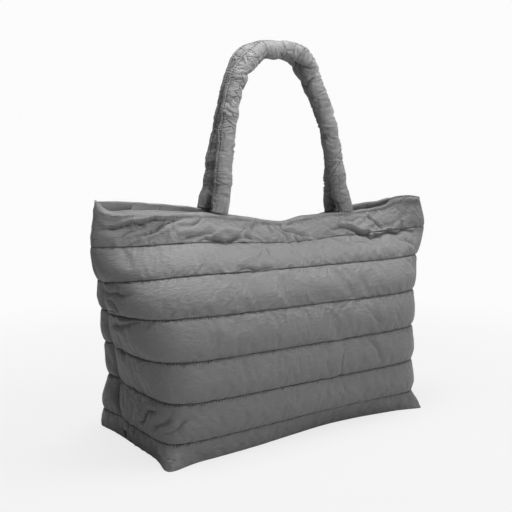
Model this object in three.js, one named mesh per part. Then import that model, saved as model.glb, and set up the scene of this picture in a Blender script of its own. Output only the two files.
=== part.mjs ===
// A large puffer tote standing open on its base: two quilted padded panels that meet at the
// ends, a padded base, two tube handles and a facing inside the rim.
// Millimetres, Z up. The front faces -Y. The origin is on the floor under the middle of the bag.
import * as THREE from 'three';

// Driving dimensions
const HEIGHT = 350; // floor to the rim at its two corners
const RIM_WIDTH = 596; // corner to corner along the rim
const BASE_LENGTH = 476; // end to end along the floor
const BASE_DEPTH = 224; // front to back along the floor
const RIM_OPENING = 50; // front rim to back rim at the middle
const RIM_SAG = 36; // deepest hang of the rim below its corners
const SEAM_WALL = 3; // panel thickness along a quilting seam
const PUFF = 5.5; // crown of a channel above its seams, outside
const INNER_PUFF = 3; // crown of a channel above its seams, inside
const HEM_WALL = 8; // panel thickness along the rim
const EAR_LENGTH = 19; // how far a base corner pokes out of the outline
const EAR_WIDTH = 26; // reach of that point along the outline
const END_TUCK = 7; // deepest draw of the left end at its side seam
const END_TUCK_REACH = 30; // half width of that hollow
const FOLD_DEPTH = 10; // deepest fold below the wall around it
const FOLD_WIDTH = 16; // half width of a fold
const BASE_EDGE = 0.5; // thickness of the base along its seam
const BASE_CROWN = 7; // rise of the padded base above its edge
const HANDLE_SPAN = 246; // foot to foot of a handle, middle to middle
const HANDLE_RISE = 251; // middle of the handle's foot to the middle of its top
const HANDLE_DIAMETER = 27;
const HANDLE_LEAN = 3; // how far a handle's top leans in over the opening
const HANDLE_FOOT_THICKNESS = 12; // the foot is squeezed between the layers of the rim
const HANDLE_FOOT_LENGTH = 30; // stretch over which the tube flattens to its foot
const FACING_DEPTH = 42; // how far the facing hangs inside the rim
const FACING_THICKNESS = 1.5;
const FACING_END = 0.09; // share of the panel that the facing leaves bare at each side seam
const CLEARANCE = 0.3; // gap between pieces that meet

const HALF_GAP = CLEARANCE / 2;
const END_FLARE = (RIM_WIDTH - BASE_LENGTH) / 2;
const GREY = 0x6d6d6e;
const DARK_GREY = 0x5d5d5f;

// Cross sections, floor to rim, one on each quilting seam.
// path: share of the panel's length, floor to rim. height: share of HEIGHT.
// left, right: flare of that end, 0 at BASE_LENGTH and 1 at RIM_WIDTH.
// front, back: closing of that side, 0 at BASE_DEPTH and 1 at RIM_OPENING.
// leftSeam, rightSeam: where front and back meet at that end, share of BASE_DEPTH. flat:
// straightness of the long sides. full: squareness of the corners.
// drop: how much lower the seam's left end is, share of HEIGHT. puff: crown of the channel above
// the row, share of PUFF.
// slide: how far the left side seam has slid round the end towards the back, share of BASE_DEPTH.
// tuck: how far the left end is drawn in along its side seam, share of END_TUCK.
const SECTIONS = [
  { name: 'floor', path: 0, height: 0, left: -0.07, right: -0.12, front: -0.02, back: 0.07,
    leftSeam: 0.11, rightSeam: 0.06, flat: 26, full: 20, drop: 0, puff: 0.4, slide: 0,
    tuck: 0.1 },
  { name: 'F', path: 0.075, height: 0.086, left: -0.02, right: -0.08, front: -0.046, back: -0.02,
    leftSeam: 0.08, rightSeam: 0.05, flat: 14, full: 10, drop: 0, puff: 0.95, slide: 0.1,
    tuck: 0.5 },
  { name: 'E', path: 0.215, height: 0.237, left: -0.08, right: -0.04, front: -0.09, back: -0.046,
    leftSeam: 0.054, rightSeam: 0.03, flat: 9, full: 7, drop: 0, puff: 1, slide: 0.22,
    tuck: 1 },
  { name: 'D', path: 0.355, height: 0.397, left: 0.13, right: 0.13, front: -0.08, back: 0,
    leftSeam: 0.036, rightSeam: 0.01, flat: 7, full: 5, drop: 0.004, puff: 1, slide: 0.2,
    tuck: 1 },
  { name: 'C', path: 0.5, height: 0.56, left: 0.38, right: 0.44, front: 0, back: 0.138,
    leftSeam: 0.022, rightSeam: -0.02, flat: 5.5, full: 3.6, drop: 0.016, puff: 1, slide: 0.15,
    tuck: 0.9 },
  { name: 'B', path: 0.65, height: 0.714, left: 0.63, right: 1.04, front: 0.276, back: 0.39,
    leftSeam: 0.018, rightSeam: -0.07, flat: 4.2, full: 2.4, drop: 0.034, puff: 0.95, slide: 0.03,
    tuck: 0.4 },
  { name: 'A', path: 0.8, height: 0.846, left: 0.86, right: 1.55, front: 0.71, back: 0.69,
    leftSeam: 0.013, rightSeam: -0.13, flat: 3, full: 1.7, drop: 0.022, puff: 0.9, slide: 0,
    tuck: 0 },
  { name: 'rim', path: 1, height: 1, left: 0.77, right: 1.23, front: 1.01, back: 0.99,
    leftSeam: 0.009, rightSeam: -0.16, flat: 2.4, full: 1.2, drop: 0, puff: 0, slide: 0,
    tuck: 0 },
];

// Hang of the rim, left to right. across: share of the panel. front, back: shares of RIM_SAG.
const SAGS = [
  { across: 0, front: 0, back: 0 },
  { across: 0.12, front: 0.39, back: 0.14 },
  { across: 0.25, front: 0.42, back: 0.34 },
  { across: 0.34, front: 0.68, back: 0.6 },
  { across: 0.42, front: 0.98, back: 1 },
  { across: 0.5, front: 1.08, back: 1.4 },
  { across: 0.58, front: 0.92, back: 1.3 },
  { across: 0.66, front: 0.56, back: 0.9 },
  { across: 0.74, front: 0.55, back: 0.6 },
  { across: 0.82, front: 0.36, back: 0.36 },
  { across: 0.93, front: 0.11, back: 0.14 },
  { across: 1, front: 0, back: 0 },
];

// Local hang of the hem, which runs out at HEM_HANG_STARTS, as shares of RIM_SAG
const HEM_HANGS = [
  { across: 0, front: -0.04, back: 0 },
  { across: 0.035, front: 0.26, back: 0 },
  { across: 0.09, front: 0.07, back: 0 },
  { across: 0.135, front: 0.04, back: 0 },
  { across: 0.25, front: 0.12, back: 0 },
  { across: 0.33, front: 0.03, back: 0 },
  { across: 0.41, front: -0.13, back: 0 },
  { across: 0.5, front: -0.06, back: 0 },
  { across: 0.565, front: -0.16, back: 0 },
  { across: 0.665, front: 0.15, back: 0 },
  { across: 0.765, front: 0.08, back: 0 },
  { across: 0.82, front: 0.16, back: 0 },
  { across: 0.865, front: 0.1, back: 0.02 },
  { across: 0.9, front: -0.17, back: -0.05 },
  { across: 0.95, front: -0.13, back: -0.05 },
  { across: 1, front: 0.04, back: 0.04 },
];
const HEM_HANG_STARTS = 0.87; // path share
const EAR_SHARE = { front: 1, back: 0.4 }; // how far each panel's corners poke out
const SAG_STARTS = 0.6; // path share above which the sag pulls the panel down
const EAR_ENDS = 0.09; // path share at which a base corner's point has run out
const HEM_STARTS = 0.93; // path share above which the wall thickens to the hem
const PUFF_FADE = 0.05; // share of the panel over which the puff runs out towards a side seam
const FOLD_FADE = 0.1; // the same for folds and dents
const DROP_ENDS = 0.3; // share of the panel over which a seam's left drop runs out

// Folds, each a valley along a line. fromAcross, fromUp, toAcross, toUp: its ends, as shares of
// the panel's width and path. width, depth: shares of FOLD_WIDTH and FOLD_DEPTH.
const FRONT_FOLDS = [
  { name: 'under the left hem', fromAcross: 0.04, fromUp: 0.9, toAcross: 0.12, toUp: 0.93,
    width: 0.7, depth: 0.8 },
  { name: 'left slope', fromAcross: 0.1, fromUp: 0.84, toAcross: 0.2, toUp: 0.945,
    width: 0.8, depth: 0.8 },
  { name: 'slope to the handle', fromAcross: 0.19, fromUp: 0.88, toAcross: 0.26, toUp: 0.95,
    width: 0.7, depth: 0.5 },
  { name: 'over seam A, left', fromAcross: 0.2, fromUp: 0.815, toAcross: 0.3, toUp: 0.85,
    width: 0.7, depth: 0.6 },
  { name: 'over seam A, middle', fromAcross: 0.26, fromUp: 0.805, toAcross: 0.36, toUp: 0.83,
    width: 0.8, depth: 1 },
  { name: 'middle upright', fromAcross: 0.4, fromUp: 0.97, toAcross: 0.39, toUp: 0.84,
    width: 0.7, depth: 0.5 },
  { name: 'middle slant', fromAcross: 0.46, fromUp: 0.94, toAcross: 0.49, toUp: 0.78,
    width: 0.8, depth: 0.6 },
  { name: 'right of the middle', fromAcross: 0.5, fromUp: 0.885, toAcross: 0.57, toUp: 0.82,
    width: 0.9, depth: 0.7 },
  { name: 'right crease, start', fromAcross: 0.61, fromUp: 0.915, toAcross: 0.68, toUp: 0.84,
    width: 0.8, depth: 0.9 },
  { name: 'right crease, middle', fromAcross: 0.69, fromUp: 0.84, toAcross: 0.76, toUp: 0.785,
    width: 0.8, depth: 0.8 },
  { name: 'right crease, end', fromAcross: 0.78, fromUp: 0.785, toAcross: 0.93, toUp: 0.79,
    width: 0.8, depth: 0.9 },
  { name: 'under the right hem', fromAcross: 0.64, fromUp: 0.895, toAcross: 0.77, toUp: 0.91,
    width: 0.7, depth: 0.5 },
  { name: 'left end', fromAcross: 0.01, fromUp: 0.64, toAcross: 0.07, toUp: 0.59,
    width: 0.8, depth: 0.6 },
  { name: 'left end, lower', fromAcross: 0.06, fromUp: 0.35, toAcross: 0.09, toUp: 0.335,
    width: 1, depth: 0.7 },
  { name: 'lower right upright', fromAcross: 0.605, fromUp: 0.36, toAcross: 0.625, toUp: 0.1,
    width: 0.9, depth: 0.4 },
  { name: 'lower right arc', fromAcross: 0.675, fromUp: 0.36, toAcross: 0.72, toUp: 0.24,
    width: 0.9, depth: 0.4 },
];
const BACK_FOLDS = [
  { name: 'left slope', fromAcross: 0.12, fromUp: 0.83, toAcross: 0.22, toUp: 0.93,
    width: 0.8, depth: 0.7 },
  { name: 'over seam A, left', fromAcross: 0.24, fromUp: 0.82, toAcross: 0.38, toUp: 0.83,
    width: 0.8, depth: 0.8 },
  { name: 'middle upright', fromAcross: 0.47, fromUp: 0.96, toAcross: 0.49, toUp: 0.83,
    width: 0.8, depth: 0.6 },
  { name: 'right slope', fromAcross: 0.6, fromUp: 0.9, toAcross: 0.72, toUp: 0.82,
    width: 0.9, depth: 0.8 },
  { name: 'right end', fromAcross: 0.86, fromUp: 0.82, toAcross: 0.95, toUp: 0.8,
    width: 0.8, depth: 0.6 },
  { name: 'lower left upright', fromAcross: 0.36, fromUp: 0.34, toAcross: 0.37, toUp: 0.12,
    width: 0.9, depth: 0.4 },
];

// Wide dents of a panel. across, up: middle. acrossReach, upReach: how far it spreads, as shares
// of RIM_WIDTH and HEIGHT. depth: share of FOLD_DEPTH.
const FRONT_DENTS = [
  { name: 'lower edge', across: 0.59, up: 0, acrossReach: 0.17, upReach: 0.07, depth: 2 },
];
const BACK_DENTS = [
  { name: 'lower edge', across: 0.45, up: 0, acrossReach: 0.2, upReach: 0.07, depth: 0.8 },
];

// Handle centrelines. along: share of HANDLE_SPAN from the middle. up: share of HANDLE_RISE.
const FRONT_HANDLE = [
  { along: -0.5, up: 0 }, { along: -0.478, up: 0.2 }, { along: -0.45, up: 0.43 },
  { along: -0.415, up: 0.638 }, { along: -0.351, up: 0.815 }, { along: -0.222, up: 0.95 },
  { along: -0.07, up: 0.992 }, { along: 0.085, up: 0.985 }, { along: 0.165, up: 0.92 },
  { along: 0.225, up: 0.8 }, { along: 0.309, up: 0.629 }, { along: 0.36, up: 0.44 },
  { along: 0.425, up: 0.2 }, { along: 0.49, up: 0 },
];
const BACK_HANDLE = [
  { along: -0.515, up: 0 }, { along: -0.47, up: 0.13 }, { along: -0.435, up: 0.3 },
  { along: -0.4, up: 0.45 }, { along: -0.36, up: 0.62 }, { along: -0.32, up: 0.78 },
  { along: -0.25, up: 0.92 }, { along: -0.13, up: 0.985 }, { along: 0.02, up: 1.008 },
  { along: 0.13, up: 0.995 }, { along: 0.215, up: 0.925 }, { along: 0.29, up: 0.825 },
  { along: 0.375, up: 0.7 }, { along: 0.45, up: 0.54 }, { along: 0.49, up: 0.38 },
  { along: 0.5, up: 0.19 }, { along: 0.5, up: 0 },
];
const HANDLE_CENTRE = 0.11; // middle between the feet, share of HANDLE_SPAN right of the base's

// Mesh density
const COLUMNS = 34;
const COLUMN_BUNCHING = 0.4; // how much closer the columns stand round the corners
const ROWS_PER_CHANNEL = 4;
const LOOP_STEPS = 400;
const SLIDE_STEPS = 24;
const HANDLE_SIDES = 10;
const HANDLE_STEPS = 46;
const BASE_RINGS = [1, 0.98, 0.9, 0.74, 0.5, 0.22];

// Smooth curve through points that never swings past them
function smoothCurve(xs, ys) {
  const last = xs.length - 1;
  const rise = ys.slice(1).map((y, i) => (y - ys[i]) / (xs[i + 1] - xs[i]));
  const slope = xs.map((_, i) => {
    if (i === 0) return rise[0];
    if (i === last) return rise[last - 1];
    const product = rise[i - 1] * rise[i];
    return product <= 0 ? 0 : (2 * product) / (rise[i - 1] + rise[i]);
  });
  return (x) => {
    let i = 0;
    while (i < last - 1 && x > xs[i + 1]) i += 1;
    const step = xs[i + 1] - xs[i];
    const t = (x - xs[i]) / step;
    const blend = t * t * (3 - 2 * t);
    const swing = t * (1 - t) * step;
    return ys[i] + (ys[i + 1] - ys[i]) * blend
      + swing * ((1 - t) * slope[i] - t * slope[i + 1]);
  };
}

function columnCurve(rows, input, output) {
  return smoothCurve(rows.map((row) => row[input]), rows.map((row) => row[output]));
}

const section = {};
for (const key of Object.keys(SECTIONS[0]).filter((name) => name !== 'name' && name !== 'path')) {
  section[key] = columnCurve(SECTIONS, 'path', key);
}
const sag = { front: columnCurve(SAGS, 'across', 'front'), back: columnCurve(SAGS, 'across', 'back') };
const hemHang = {
  front: columnCurve(HEM_HANGS, 'across', 'front'),
  back: columnCurve(HEM_HANGS, 'across', 'back'),
};
const folds = { front: FRONT_FOLDS, back: BACK_FOLDS };
const dents = { front: FRONT_DENTS, back: BACK_DENTS };

function lerp(from, to, share) {
  return from + (to - from) * share;
}

// Where the left side seam meets a cross section, measured from front to back
function leftSeamDepth(path) {
  return (section.leftSeam(path) + section.slide(path)) * BASE_DEPTH;
}

// One half of a cross section, front or back, as a function of the share along it from -1 at the
// left end to 1 at the right
function halfSection(sideName, path) {
  const left = -(BASE_LENGTH / 2 + section.left(path) * END_FLARE);
  const right = BASE_LENGTH / 2 + section.right(path) * END_FLARE;
  const outward = sideName === 'front' ? -1 : 1;
  const reach = outward * lerp(BASE_DEPTH / 2, RIM_OPENING / 2, section[sideName](path));
  const seams = [section.leftSeam(path) * BASE_DEPTH, section.rightSeam(path) * BASE_DEPTH];
  const flat = section.flat(path);
  const full = section.full(path);
  const ear = EAR_LENGTH * EAR_SHARE[sideName] * Math.max(0, 1 - path / EAR_ENDS) ** 1.5;
  const tuck = END_TUCK * section.tuck(path);
  const at = (along) => {
    const out = Math.max(0, 1 - Math.abs(along) ** flat) ** (1 / full);
    let x = lerp(left, right, (along + 1) / 2);
    let y = lerp(lerp(...seams, (along + 1) / 2), reach, out);
    const corner = along < 0 ? left : right;
    const near = Math.exp(-(((x - corner) ** 2 + (y - reach) ** 2) / EAR_WIDTH ** 2));
    if (along < 0) {
      x += tuck * Math.exp(-(((y - leftSeamDepth(path)) / END_TUCK_REACH) ** 2));
    }
    x += Math.sign(along) * ear * near * Math.SQRT1_2;
    y += outward * ear * near * Math.SQRT1_2;
    return { x, y };
  };
  // Share along the half at which it is a given distance from the seams' line, near the left end
  const alongAt = (distance) => {
    const out = Math.min(1, distance / Math.abs(reach - seams[0]));
    return -((1 - out ** full) ** (1 / flat));
  };
  return { at, alongAt };
}

// A panel's cross section at one path share, from the left side seam round the front or the back
// to the right side seam, as points with their distance along the loop
function sectionLoop(sideName, path) {
  const points = [];
  const slide = section.slide(path) * BASE_DEPTH;
  const back = halfSection('back', path);
  const own = halfSection(sideName, path);
  if (sideName === 'front') {
    for (let k = SLIDE_STEPS; k > 0; k -= 1) points.push(back.at(back.alongAt((slide * k) / SLIDE_STEPS)));
  }
  const start = sideName === 'back' ? back.alongAt(slide) : -1;
  for (let k = 0; k <= LOOP_STEPS; k += 1) {
    const t = (2 * k) / LOOP_STEPS - 1;
    const along = Math.sign(t) * (1 - (1 - Math.abs(t)) ** 8);
    if (along >= start) points.push(own.at(along));
  }
  if (sideName === 'back') points.unshift(own.at(start));
  let length = 0;
  points.forEach((point, k) => {
    if (k > 0) length += Math.hypot(point.x - points[k - 1].x, point.y - points[k - 1].y);
    point.length = length;
  });
  return points;
}

// Points of the loop at equal shares of its length given by the list of across shares
function alongLoop(loop, acrossShares) {
  const total = loop[loop.length - 1].length;
  let k = 1;
  return acrossShares.map((across) => {
    const target = across * total;
    while (k < loop.length - 1 && loop[k].length < target) k += 1;
    const step = loop[k].length - loop[k - 1].length;
    const t = step > 0 ? (target - loop[k - 1].length) / step : 0;
    return { x: lerp(loop[k - 1].x, loop[k].x, t), y: lerp(loop[k - 1].y, loop[k].y, t) };
  });
}

// Height of a point of the panel: the section's height less the rim's hang and the left drop
function panelHeight(sideName, across, path) {
  const pull = Math.max(0, (path - SAG_STARTS) / (1 - SAG_STARTS)) ** 1.6;
  const hemPull = Math.max(0, (path - HEM_HANG_STARTS) / (1 - HEM_HANG_STARTS)) ** 1.3;
  const fade = Math.max(0, 1 - across / DROP_ENDS) ** 2;
  const hang = sag[sideName](across) * pull + hemHang[sideName](across) * hemPull;
  return HEIGHT * (section.height(path) - section.drop(path) * fade) - RIM_SAG * hang;
}

// The stitched surface of a panel before it is puffed, as rows of points
function stitchedGrid(sideName, acrossShares, paths) {
  return paths.map((path) => {
    const loop = sectionLoop(sideName, path);
    return alongLoop(loop, acrossShares).map((point, i) => (
      new THREE.Vector3(point.x, point.y, panelHeight(sideName, acrossShares[i], path))
    ));
  });
}

// Outward normals of a grid. A whole panel's end columns look along X, and its first and last
// rows stay level.
function gridNormals(sideName, grid, isWholePanel = true) {
  const turn = sideName === 'front' ? 1 : -1;
  const lastRow = grid.length - 1;
  const lastColumn = grid[0].length - 1;
  return grid.map((row, j) => row.map((_, i) => {
    const right = grid[j][Math.min(i + 1, lastColumn)].clone().sub(grid[j][Math.max(i - 1, 0)]);
    const up = grid[Math.min(j + 1, lastRow)][i].clone().sub(grid[Math.max(j - 1, 0)][i]);
    const normal = right.cross(up).multiplyScalar(turn);
    if (isWholePanel) {
      if (i === 0) normal.set(-1, 0, 0);
      if (i === lastColumn) normal.set(1, 0, 0);
      if (j === 0 || j === lastRow) normal.z = 0;
    }
    return normal.normalize();
  }));
}

// Crown of the quilted channel that a path share lies in, 0 on a seam and 1 at its middle
function channelCrown(path) {
  const index = SECTIONS.findIndex((row, i) => i > 0 && path <= row.path + 1e-9) - 1;
  const low = SECTIONS[index];
  const share = (path - low.path) / (SECTIONS[index + 1].path - low.path);
  return { puff: low.puff, crown: (4 * share * (1 - share)) ** 0.6 };
}

// 1 over most of the panel, running out to 0 at the side seams
function endFade(across, reach) {
  const share = Math.min(1, Math.min(across, 1 - across) / reach);
  return Math.sqrt(Math.max(0, 1 - (1 - share) ** 2));
}

// How far the whole wall is pushed in by the folds and dents at one place
function foldDepth(sideName, across, path) {
  let depth = 0;
  for (const fold of folds[sideName]) {
    const dx = (fold.toAcross - fold.fromAcross) * RIM_WIDTH;
    const dz = (fold.toUp - fold.fromUp) * HEIGHT;
    const px = (across - fold.fromAcross) * RIM_WIDTH;
    const pz = (path - fold.fromUp) * HEIGHT;
    const share = THREE.MathUtils.clamp((px * dx + pz * dz) / (dx * dx + dz * dz), 0, 1);
    const distance = Math.hypot(px - share * dx, pz - share * dz);
    const reach = (distance / (fold.width * FOLD_WIDTH)) ** 2;
    depth += fold.depth * FOLD_DEPTH * Math.exp(-reach);
  }
  for (const dent of dents[sideName]) {
    const reach = ((across - dent.across) / dent.acrossReach) ** 2
      + ((path - dent.up) / dent.upReach) ** 2;
    depth += dent.depth * FOLD_DEPTH * Math.exp(-reach);
  }
  return depth * endFade(across, FOLD_FADE);
}

// Across shares of the panel's columns, closer together round the corners and at the middle
function columnShares() {
  const shares = [];
  for (let i = 0; i <= COLUMNS; i += 1) {
    const s = i / COLUMNS;
    shares.push(s + (COLUMN_BUNCHING * Math.sin(6 * Math.PI * s)) / (6 * Math.PI));
  }
  return shares;
}

// Path shares of the rows, the same number in every channel
function rowPaths(perChannel) {
  const paths = [0];
  for (let c = 1; c < SECTIONS.length; c += 1) {
    for (let k = 1; k <= perChannel; k += 1) {
      paths.push(lerp(SECTIONS[c - 1].path, SECTIONS[c].path, k / perChannel));
    }
  }
  return paths;
}

// One face of the panel's wall: the stitched surface moved out or in, and further in by the inset
function wallFace(sideName, acrossShares, paths, isOuter, inset = 0) {
  const grid = stitchedGrid(sideName, acrossShares, paths);
  const normals = gridNormals(sideName, grid);
  const outward = sideName === 'front' ? -1 : 1;
  return grid.map((row, j) => row.map((point, i) => {
    const path = paths[j];
    const across = acrossShares[i];
    const { puff, crown } = channelCrown(Math.max(path, 1e-6));
    const fade = endFade(across, PUFF_FADE);
    const lift = puff * crown * fade;
    const rimShare = Math.max(0, (path - HEM_STARTS) / (1 - HEM_STARTS));
    const wall = lerp(SEAM_WALL, HEM_WALL, rimShare * fade);
    const firstChannel = path < SECTIONS[1].path;
    const inner = wall + (firstChannel ? 0 : INNER_PUFF * lift);
    const offset = (isOuter ? PUFF * lift : -inner) - foldDepth(sideName, across, path) - inset;
    const moved = point.clone().addScaledVector(normals[j][i], offset);
    const isEnd = i === 0 || i === row.length - 1;
    const seam = lerp(leftSeamDepth(path), section.rightSeam(path) * BASE_DEPTH, across);
    const seamPlane = seam + outward * (isEnd ? HALF_GAP : CLEARANCE);
    moved.y = outward * Math.max(outward * moved.y, outward * seamPlane);
    moved.z = Math.max(moved.z, 0);
    return moved;
  }));
}

// A closed body from rings. Each ring is a closed loop of points, all with one count. The cap is
// a list of triangles between the points of one ring.
function bodyFromRings(rings, cap) {
  const count = rings[0].length;
  const positions = rings.flat().flatMap((point) => [point.x, point.y, point.z]);
  const triangles = [];
  for (let i = 0; i + 1 < rings.length; i += 1) {
    for (let k = 0; k < count; k += 1) {
      const a = i * count + k;
      const b = i * count + ((k + 1) % count);
      triangles.push([a, a + count, b + count], [a, b + count, b]);
    }
  }
  const last = (rings.length - 1) * count;
  for (const [a, b, c] of cap) {
    triangles.push([a, b, c], [last + c, last + b, last + a]);
  }
  return outwardGeometry(positions, triangles);
}

// Cap of a convex ring
function fanCap(count) {
  return Array.from({ length: count - 2 }, (_, k) => [0, k + 1, k + 2]);
}

// Cap of a wall's ring: outer rows upward, the crest, then half as many inner rows downward
function wallCap(outerCount, innerCount) {
  const inner = (row) => outerCount + innerCount - row;
  const cap = [[outerCount - 1, outerCount, inner(innerCount - 1)]];
  for (let row = 0; row + 1 < innerCount; row += 1) {
    cap.push([2 * row, 2 * row + 1, inner(row)]);
    cap.push([2 * row + 1, inner(row + 1), inner(row)]);
    cap.push([2 * row + 1, 2 * row + 2, inner(row + 1)]);
  }
  return cap;
}

// Builds the geometry, with its faces turned outward by the sign of the enclosed volume
function outwardGeometry(positions, triangles) {
  const at = (k) => new THREE.Vector3(positions[3 * k], positions[3 * k + 1], positions[3 * k + 2]);
  const volume = triangles.reduce((sum, [a, b, c]) => sum + at(a).dot(at(b).cross(at(c))), 0);
  const index = triangles.flatMap(([a, b, c]) => (volume > 0 ? [a, b, c] : [a, c, b]));
  const geometry = new THREE.BufferGeometry();
  geometry.setAttribute('position', new THREE.Float32BufferAttribute(positions, 3));
  geometry.setIndex(index);
  geometry.computeVertexNormals();
  return geometry;
}

// Front and back faces of both panels, shared by the pieces that meet them
const acrossShares = columnShares();
const outerPaths = rowPaths(ROWS_PER_CHANNEL);
const innerPaths = rowPaths(ROWS_PER_CHANNEL / 2);
const wall = {};
for (const sideName of ['front', 'back']) {
  wall[sideName] = {
    outer: wallFace(sideName, acrossShares, outerPaths, true),
    inner: wallFace(sideName, acrossShares, innerPaths, false),
  };
}

// The rounded top of the rim: a crest between the outer and the inner face
function crestPoint(sideName, i) {
  const { outer, inner } = wall[sideName];
  const crest = outer[outer.length - 1][i].clone().lerp(inner[inner.length - 1][i], 0.5);
  crest.z += 0.3 * outer[outer.length - 1][i].distanceTo(inner[inner.length - 1][i]);
  return crest;
}

function panelGeometry(sideName) {
  const { outer, inner } = wall[sideName];
  const rings = acrossShares.map((_, i) => [
    ...outer.map((row) => row[i]),
    crestPoint(sideName, i),
    ...inner.map((row) => row[i]).reverse(),
  ]);
  return bodyFromRings(rings, wallCap(outer.length, inner.length));
}

// Height and depth of the rim's crest at one place across, read off the panel's own facets
function crestAt(sideName, x) {
  for (let i = 0; i + 1 < acrossShares.length; i += 1) {
    const a = crestPoint(sideName, i);
    const b = crestPoint(sideName, i + 1);
    if (x >= a.x && x <= b.x) return a.lerp(b, (x - a.x) / (b.x - a.x));
  }
  throw new Error('The handle stands beside the rim');
}

// A tube along the table's curve. Its last stretch flattens to a foot that sits on the rim.
function handleGeometry(sideName, table) {
  const middle = HANDLE_CENTRE * HANDLE_SPAN;
  const feet = [-0.5, 0.5].map((along) => crestAt(sideName, middle + along * HANDLE_SPAN));
  const lean = sideName === 'front' ? HANDLE_LEAN : -HANDLE_LEAN;
  const curve = new THREE.CatmullRomCurve3(table.map(({ along, up }) => {
    const share = along + 0.5;
    return new THREE.Vector3(
      middle + along * HANDLE_SPAN,
      lerp(feet[0].y, feet[1].y, share) + lean * up,
      lerp(feet[0].z, feet[1].z, share) + CLEARANCE + up * HANDLE_RISE,
    );
  }), false, 'centripetal');
  const length = curve.getLength();
  const depthways = new THREE.Vector3(0, 1, 0);
  const rings = [];
  for (let k = 0; k <= HANDLE_STEPS; k += 1) {
    const s = k / HANDLE_STEPS;
    const centre = curve.getPointAt(s);
    const tangent = curve.getTangentAt(s);
    const sideways = depthways.clone().cross(tangent).normalize();
    const fromFoot = Math.min(s, 1 - s) * length;
    const open = Math.sin((Math.min(1, fromFoot / HANDLE_FOOT_LENGTH) * Math.PI) / 2);
    const thickness = lerp(HANDLE_FOOT_THICKNESS, HANDLE_DIAMETER, open) / 2;
    const width = HANDLE_DIAMETER / 2;
    const isFoot = k === 0 || k === HANDLE_STEPS;
    const ring = [];
    for (let n = 0; n < HANDLE_SIDES; n += 1) {
      const angle = (2 * Math.PI * (n + 0.5)) / HANDLE_SIDES;
      const point = centre.clone()
        .addScaledVector(sideways, width * Math.cos(angle))
        .addScaledVector(depthways, thickness * Math.sin(angle));
      if (isFoot) point.z = crestAt(sideName, point.x).z + CLEARANCE;
      ring.push(point);
    }
    rings.push(ring);
  }
  return bodyFromRings(rings, fanCap(HANDLE_SIDES));
}

// The padded base: flat underneath, crowned on top, inside the panels' lower edges
function baseGeometry() {
  const outline = [];
  for (const sideName of ['front', 'back']) {
    const edge = wallFace(sideName, acrossShares, [0, innerPaths[1]], false, 2.5 * CLEARANCE)[0];
    outline.push(...(sideName === 'front' ? edge : edge.slice(1, -1).reverse()));
  }
  const count = outline.length;
  const centre = new THREE.Vector3();
  outline.forEach((point) => centre.add(point));
  centre.divideScalar(count).setZ(0);
  const positions = [];
  const ringPoints = (share, z) => outline.forEach((point) => {
    const moved = centre.clone().lerp(point, share);
    positions.push(moved.x, moved.y, z);
  });
  BASE_RINGS.forEach((share) => ringPoints(share, 0));
  BASE_RINGS.forEach((share) => {
    const padded = SEAM_WALL + BASE_CROWN * (1 - share ** 4);
    ringPoints(share, share === 1 ? BASE_EDGE : padded);
  });
  const triangles = [];
  const rings = BASE_RINGS.length;
  const join = (from, to) => {
    for (let k = 0; k < count; k += 1) {
      const next = (k + 1) % count;
      const [a, b, c, d] = [from * count + k, from * count + next, to * count + next, to * count + k];
      triangles.push([a, b, c], [a, c, d]);
    }
  };
  for (let r = 0; r + 1 < rings; r += 1) {
    join(r + 1, r);
    join(rings + r, rings + r + 1);
  }
  join(0, rings);
  const bottomCentre = positions.length / 3;
  positions.push(centre.x, centre.y, 0);
  positions.push(centre.x, centre.y, SEAM_WALL + BASE_CROWN);
  for (let k = 0; k < count; k += 1) {
    const next = (k + 1) % count;
    triangles.push([(rings - 1) * count + next, (rings - 1) * count + k, bottomCentre]);
    triangles.push([(2 * rings - 1) * count + k, (2 * rings - 1) * count + next, bottomCentre + 1]);
  }
  return outwardGeometry(positions, triangles);
}

// A strip of cloth that lines the top of one panel's inner face
function facingGeometry(sideName) {
  const { inner } = wall[sideName];
  const topRow = inner[inner.length - 1];
  const nextRow = inner[inner.length - 2];
  const normals = gridNormals(sideName, [nextRow, topRow], false);
  const rings = [];
  acrossShares.forEach((across, i) => {
    if (across < FACING_END || across > 1 - FACING_END) return;
    const inward = normals[0][i].clone().negate();
    const drop = Math.min(0.95, FACING_DEPTH / topRow[i].distanceTo(nextRow[i]));
    const top = topRow[i].clone().lerp(nextRow[i], 0.02);
    const bottom = topRow[i].clone().lerp(nextRow[i], drop);
    const gap = CLEARANCE * 1.6;
    rings.push([
      top.clone().addScaledVector(inward, gap),
      bottom.clone().addScaledVector(inward, gap),
      bottom.clone().addScaledVector(inward, gap + FACING_THICKNESS),
      top.clone().addScaledVector(inward, gap + FACING_THICKNESS),
    ]);
  });
  return bodyFromRings(rings, fanCap(4));
}

function piece(name, geometry, color, roughness) {
  const material = new THREE.MeshStandardMaterial({ color, roughness, metalness: 0 });
  const mesh = new THREE.Mesh(geometry, material);
  mesh.name = name;
  return mesh;
}

const bag = new THREE.Group();
bag.add(
  piece('front_panel', panelGeometry('front'), GREY, 0.7),
  piece('back_panel', panelGeometry('back'), GREY, 0.7),
  piece('base_panel', baseGeometry(), GREY, 0.75),
  piece('front_handle', handleGeometry('front', FRONT_HANDLE), GREY, 0.65),
  piece('back_handle', handleGeometry('back', BACK_HANDLE), GREY, 0.65),
  piece('front_facing', facingGeometry('front'), DARK_GREY, 0.8),
  piece('back_facing', facingGeometry('back'), DARK_GREY, 0.8),
);

// The origin goes on the floor under the middle of the whole bag
const bounds = new THREE.Box3().setFromObject(bag);
const centre = bounds.getCenter(new THREE.Vector3());
bag.position.set(-centre.x, -centre.y, -bounds.min.z);

export default bag;
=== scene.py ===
import math

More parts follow.
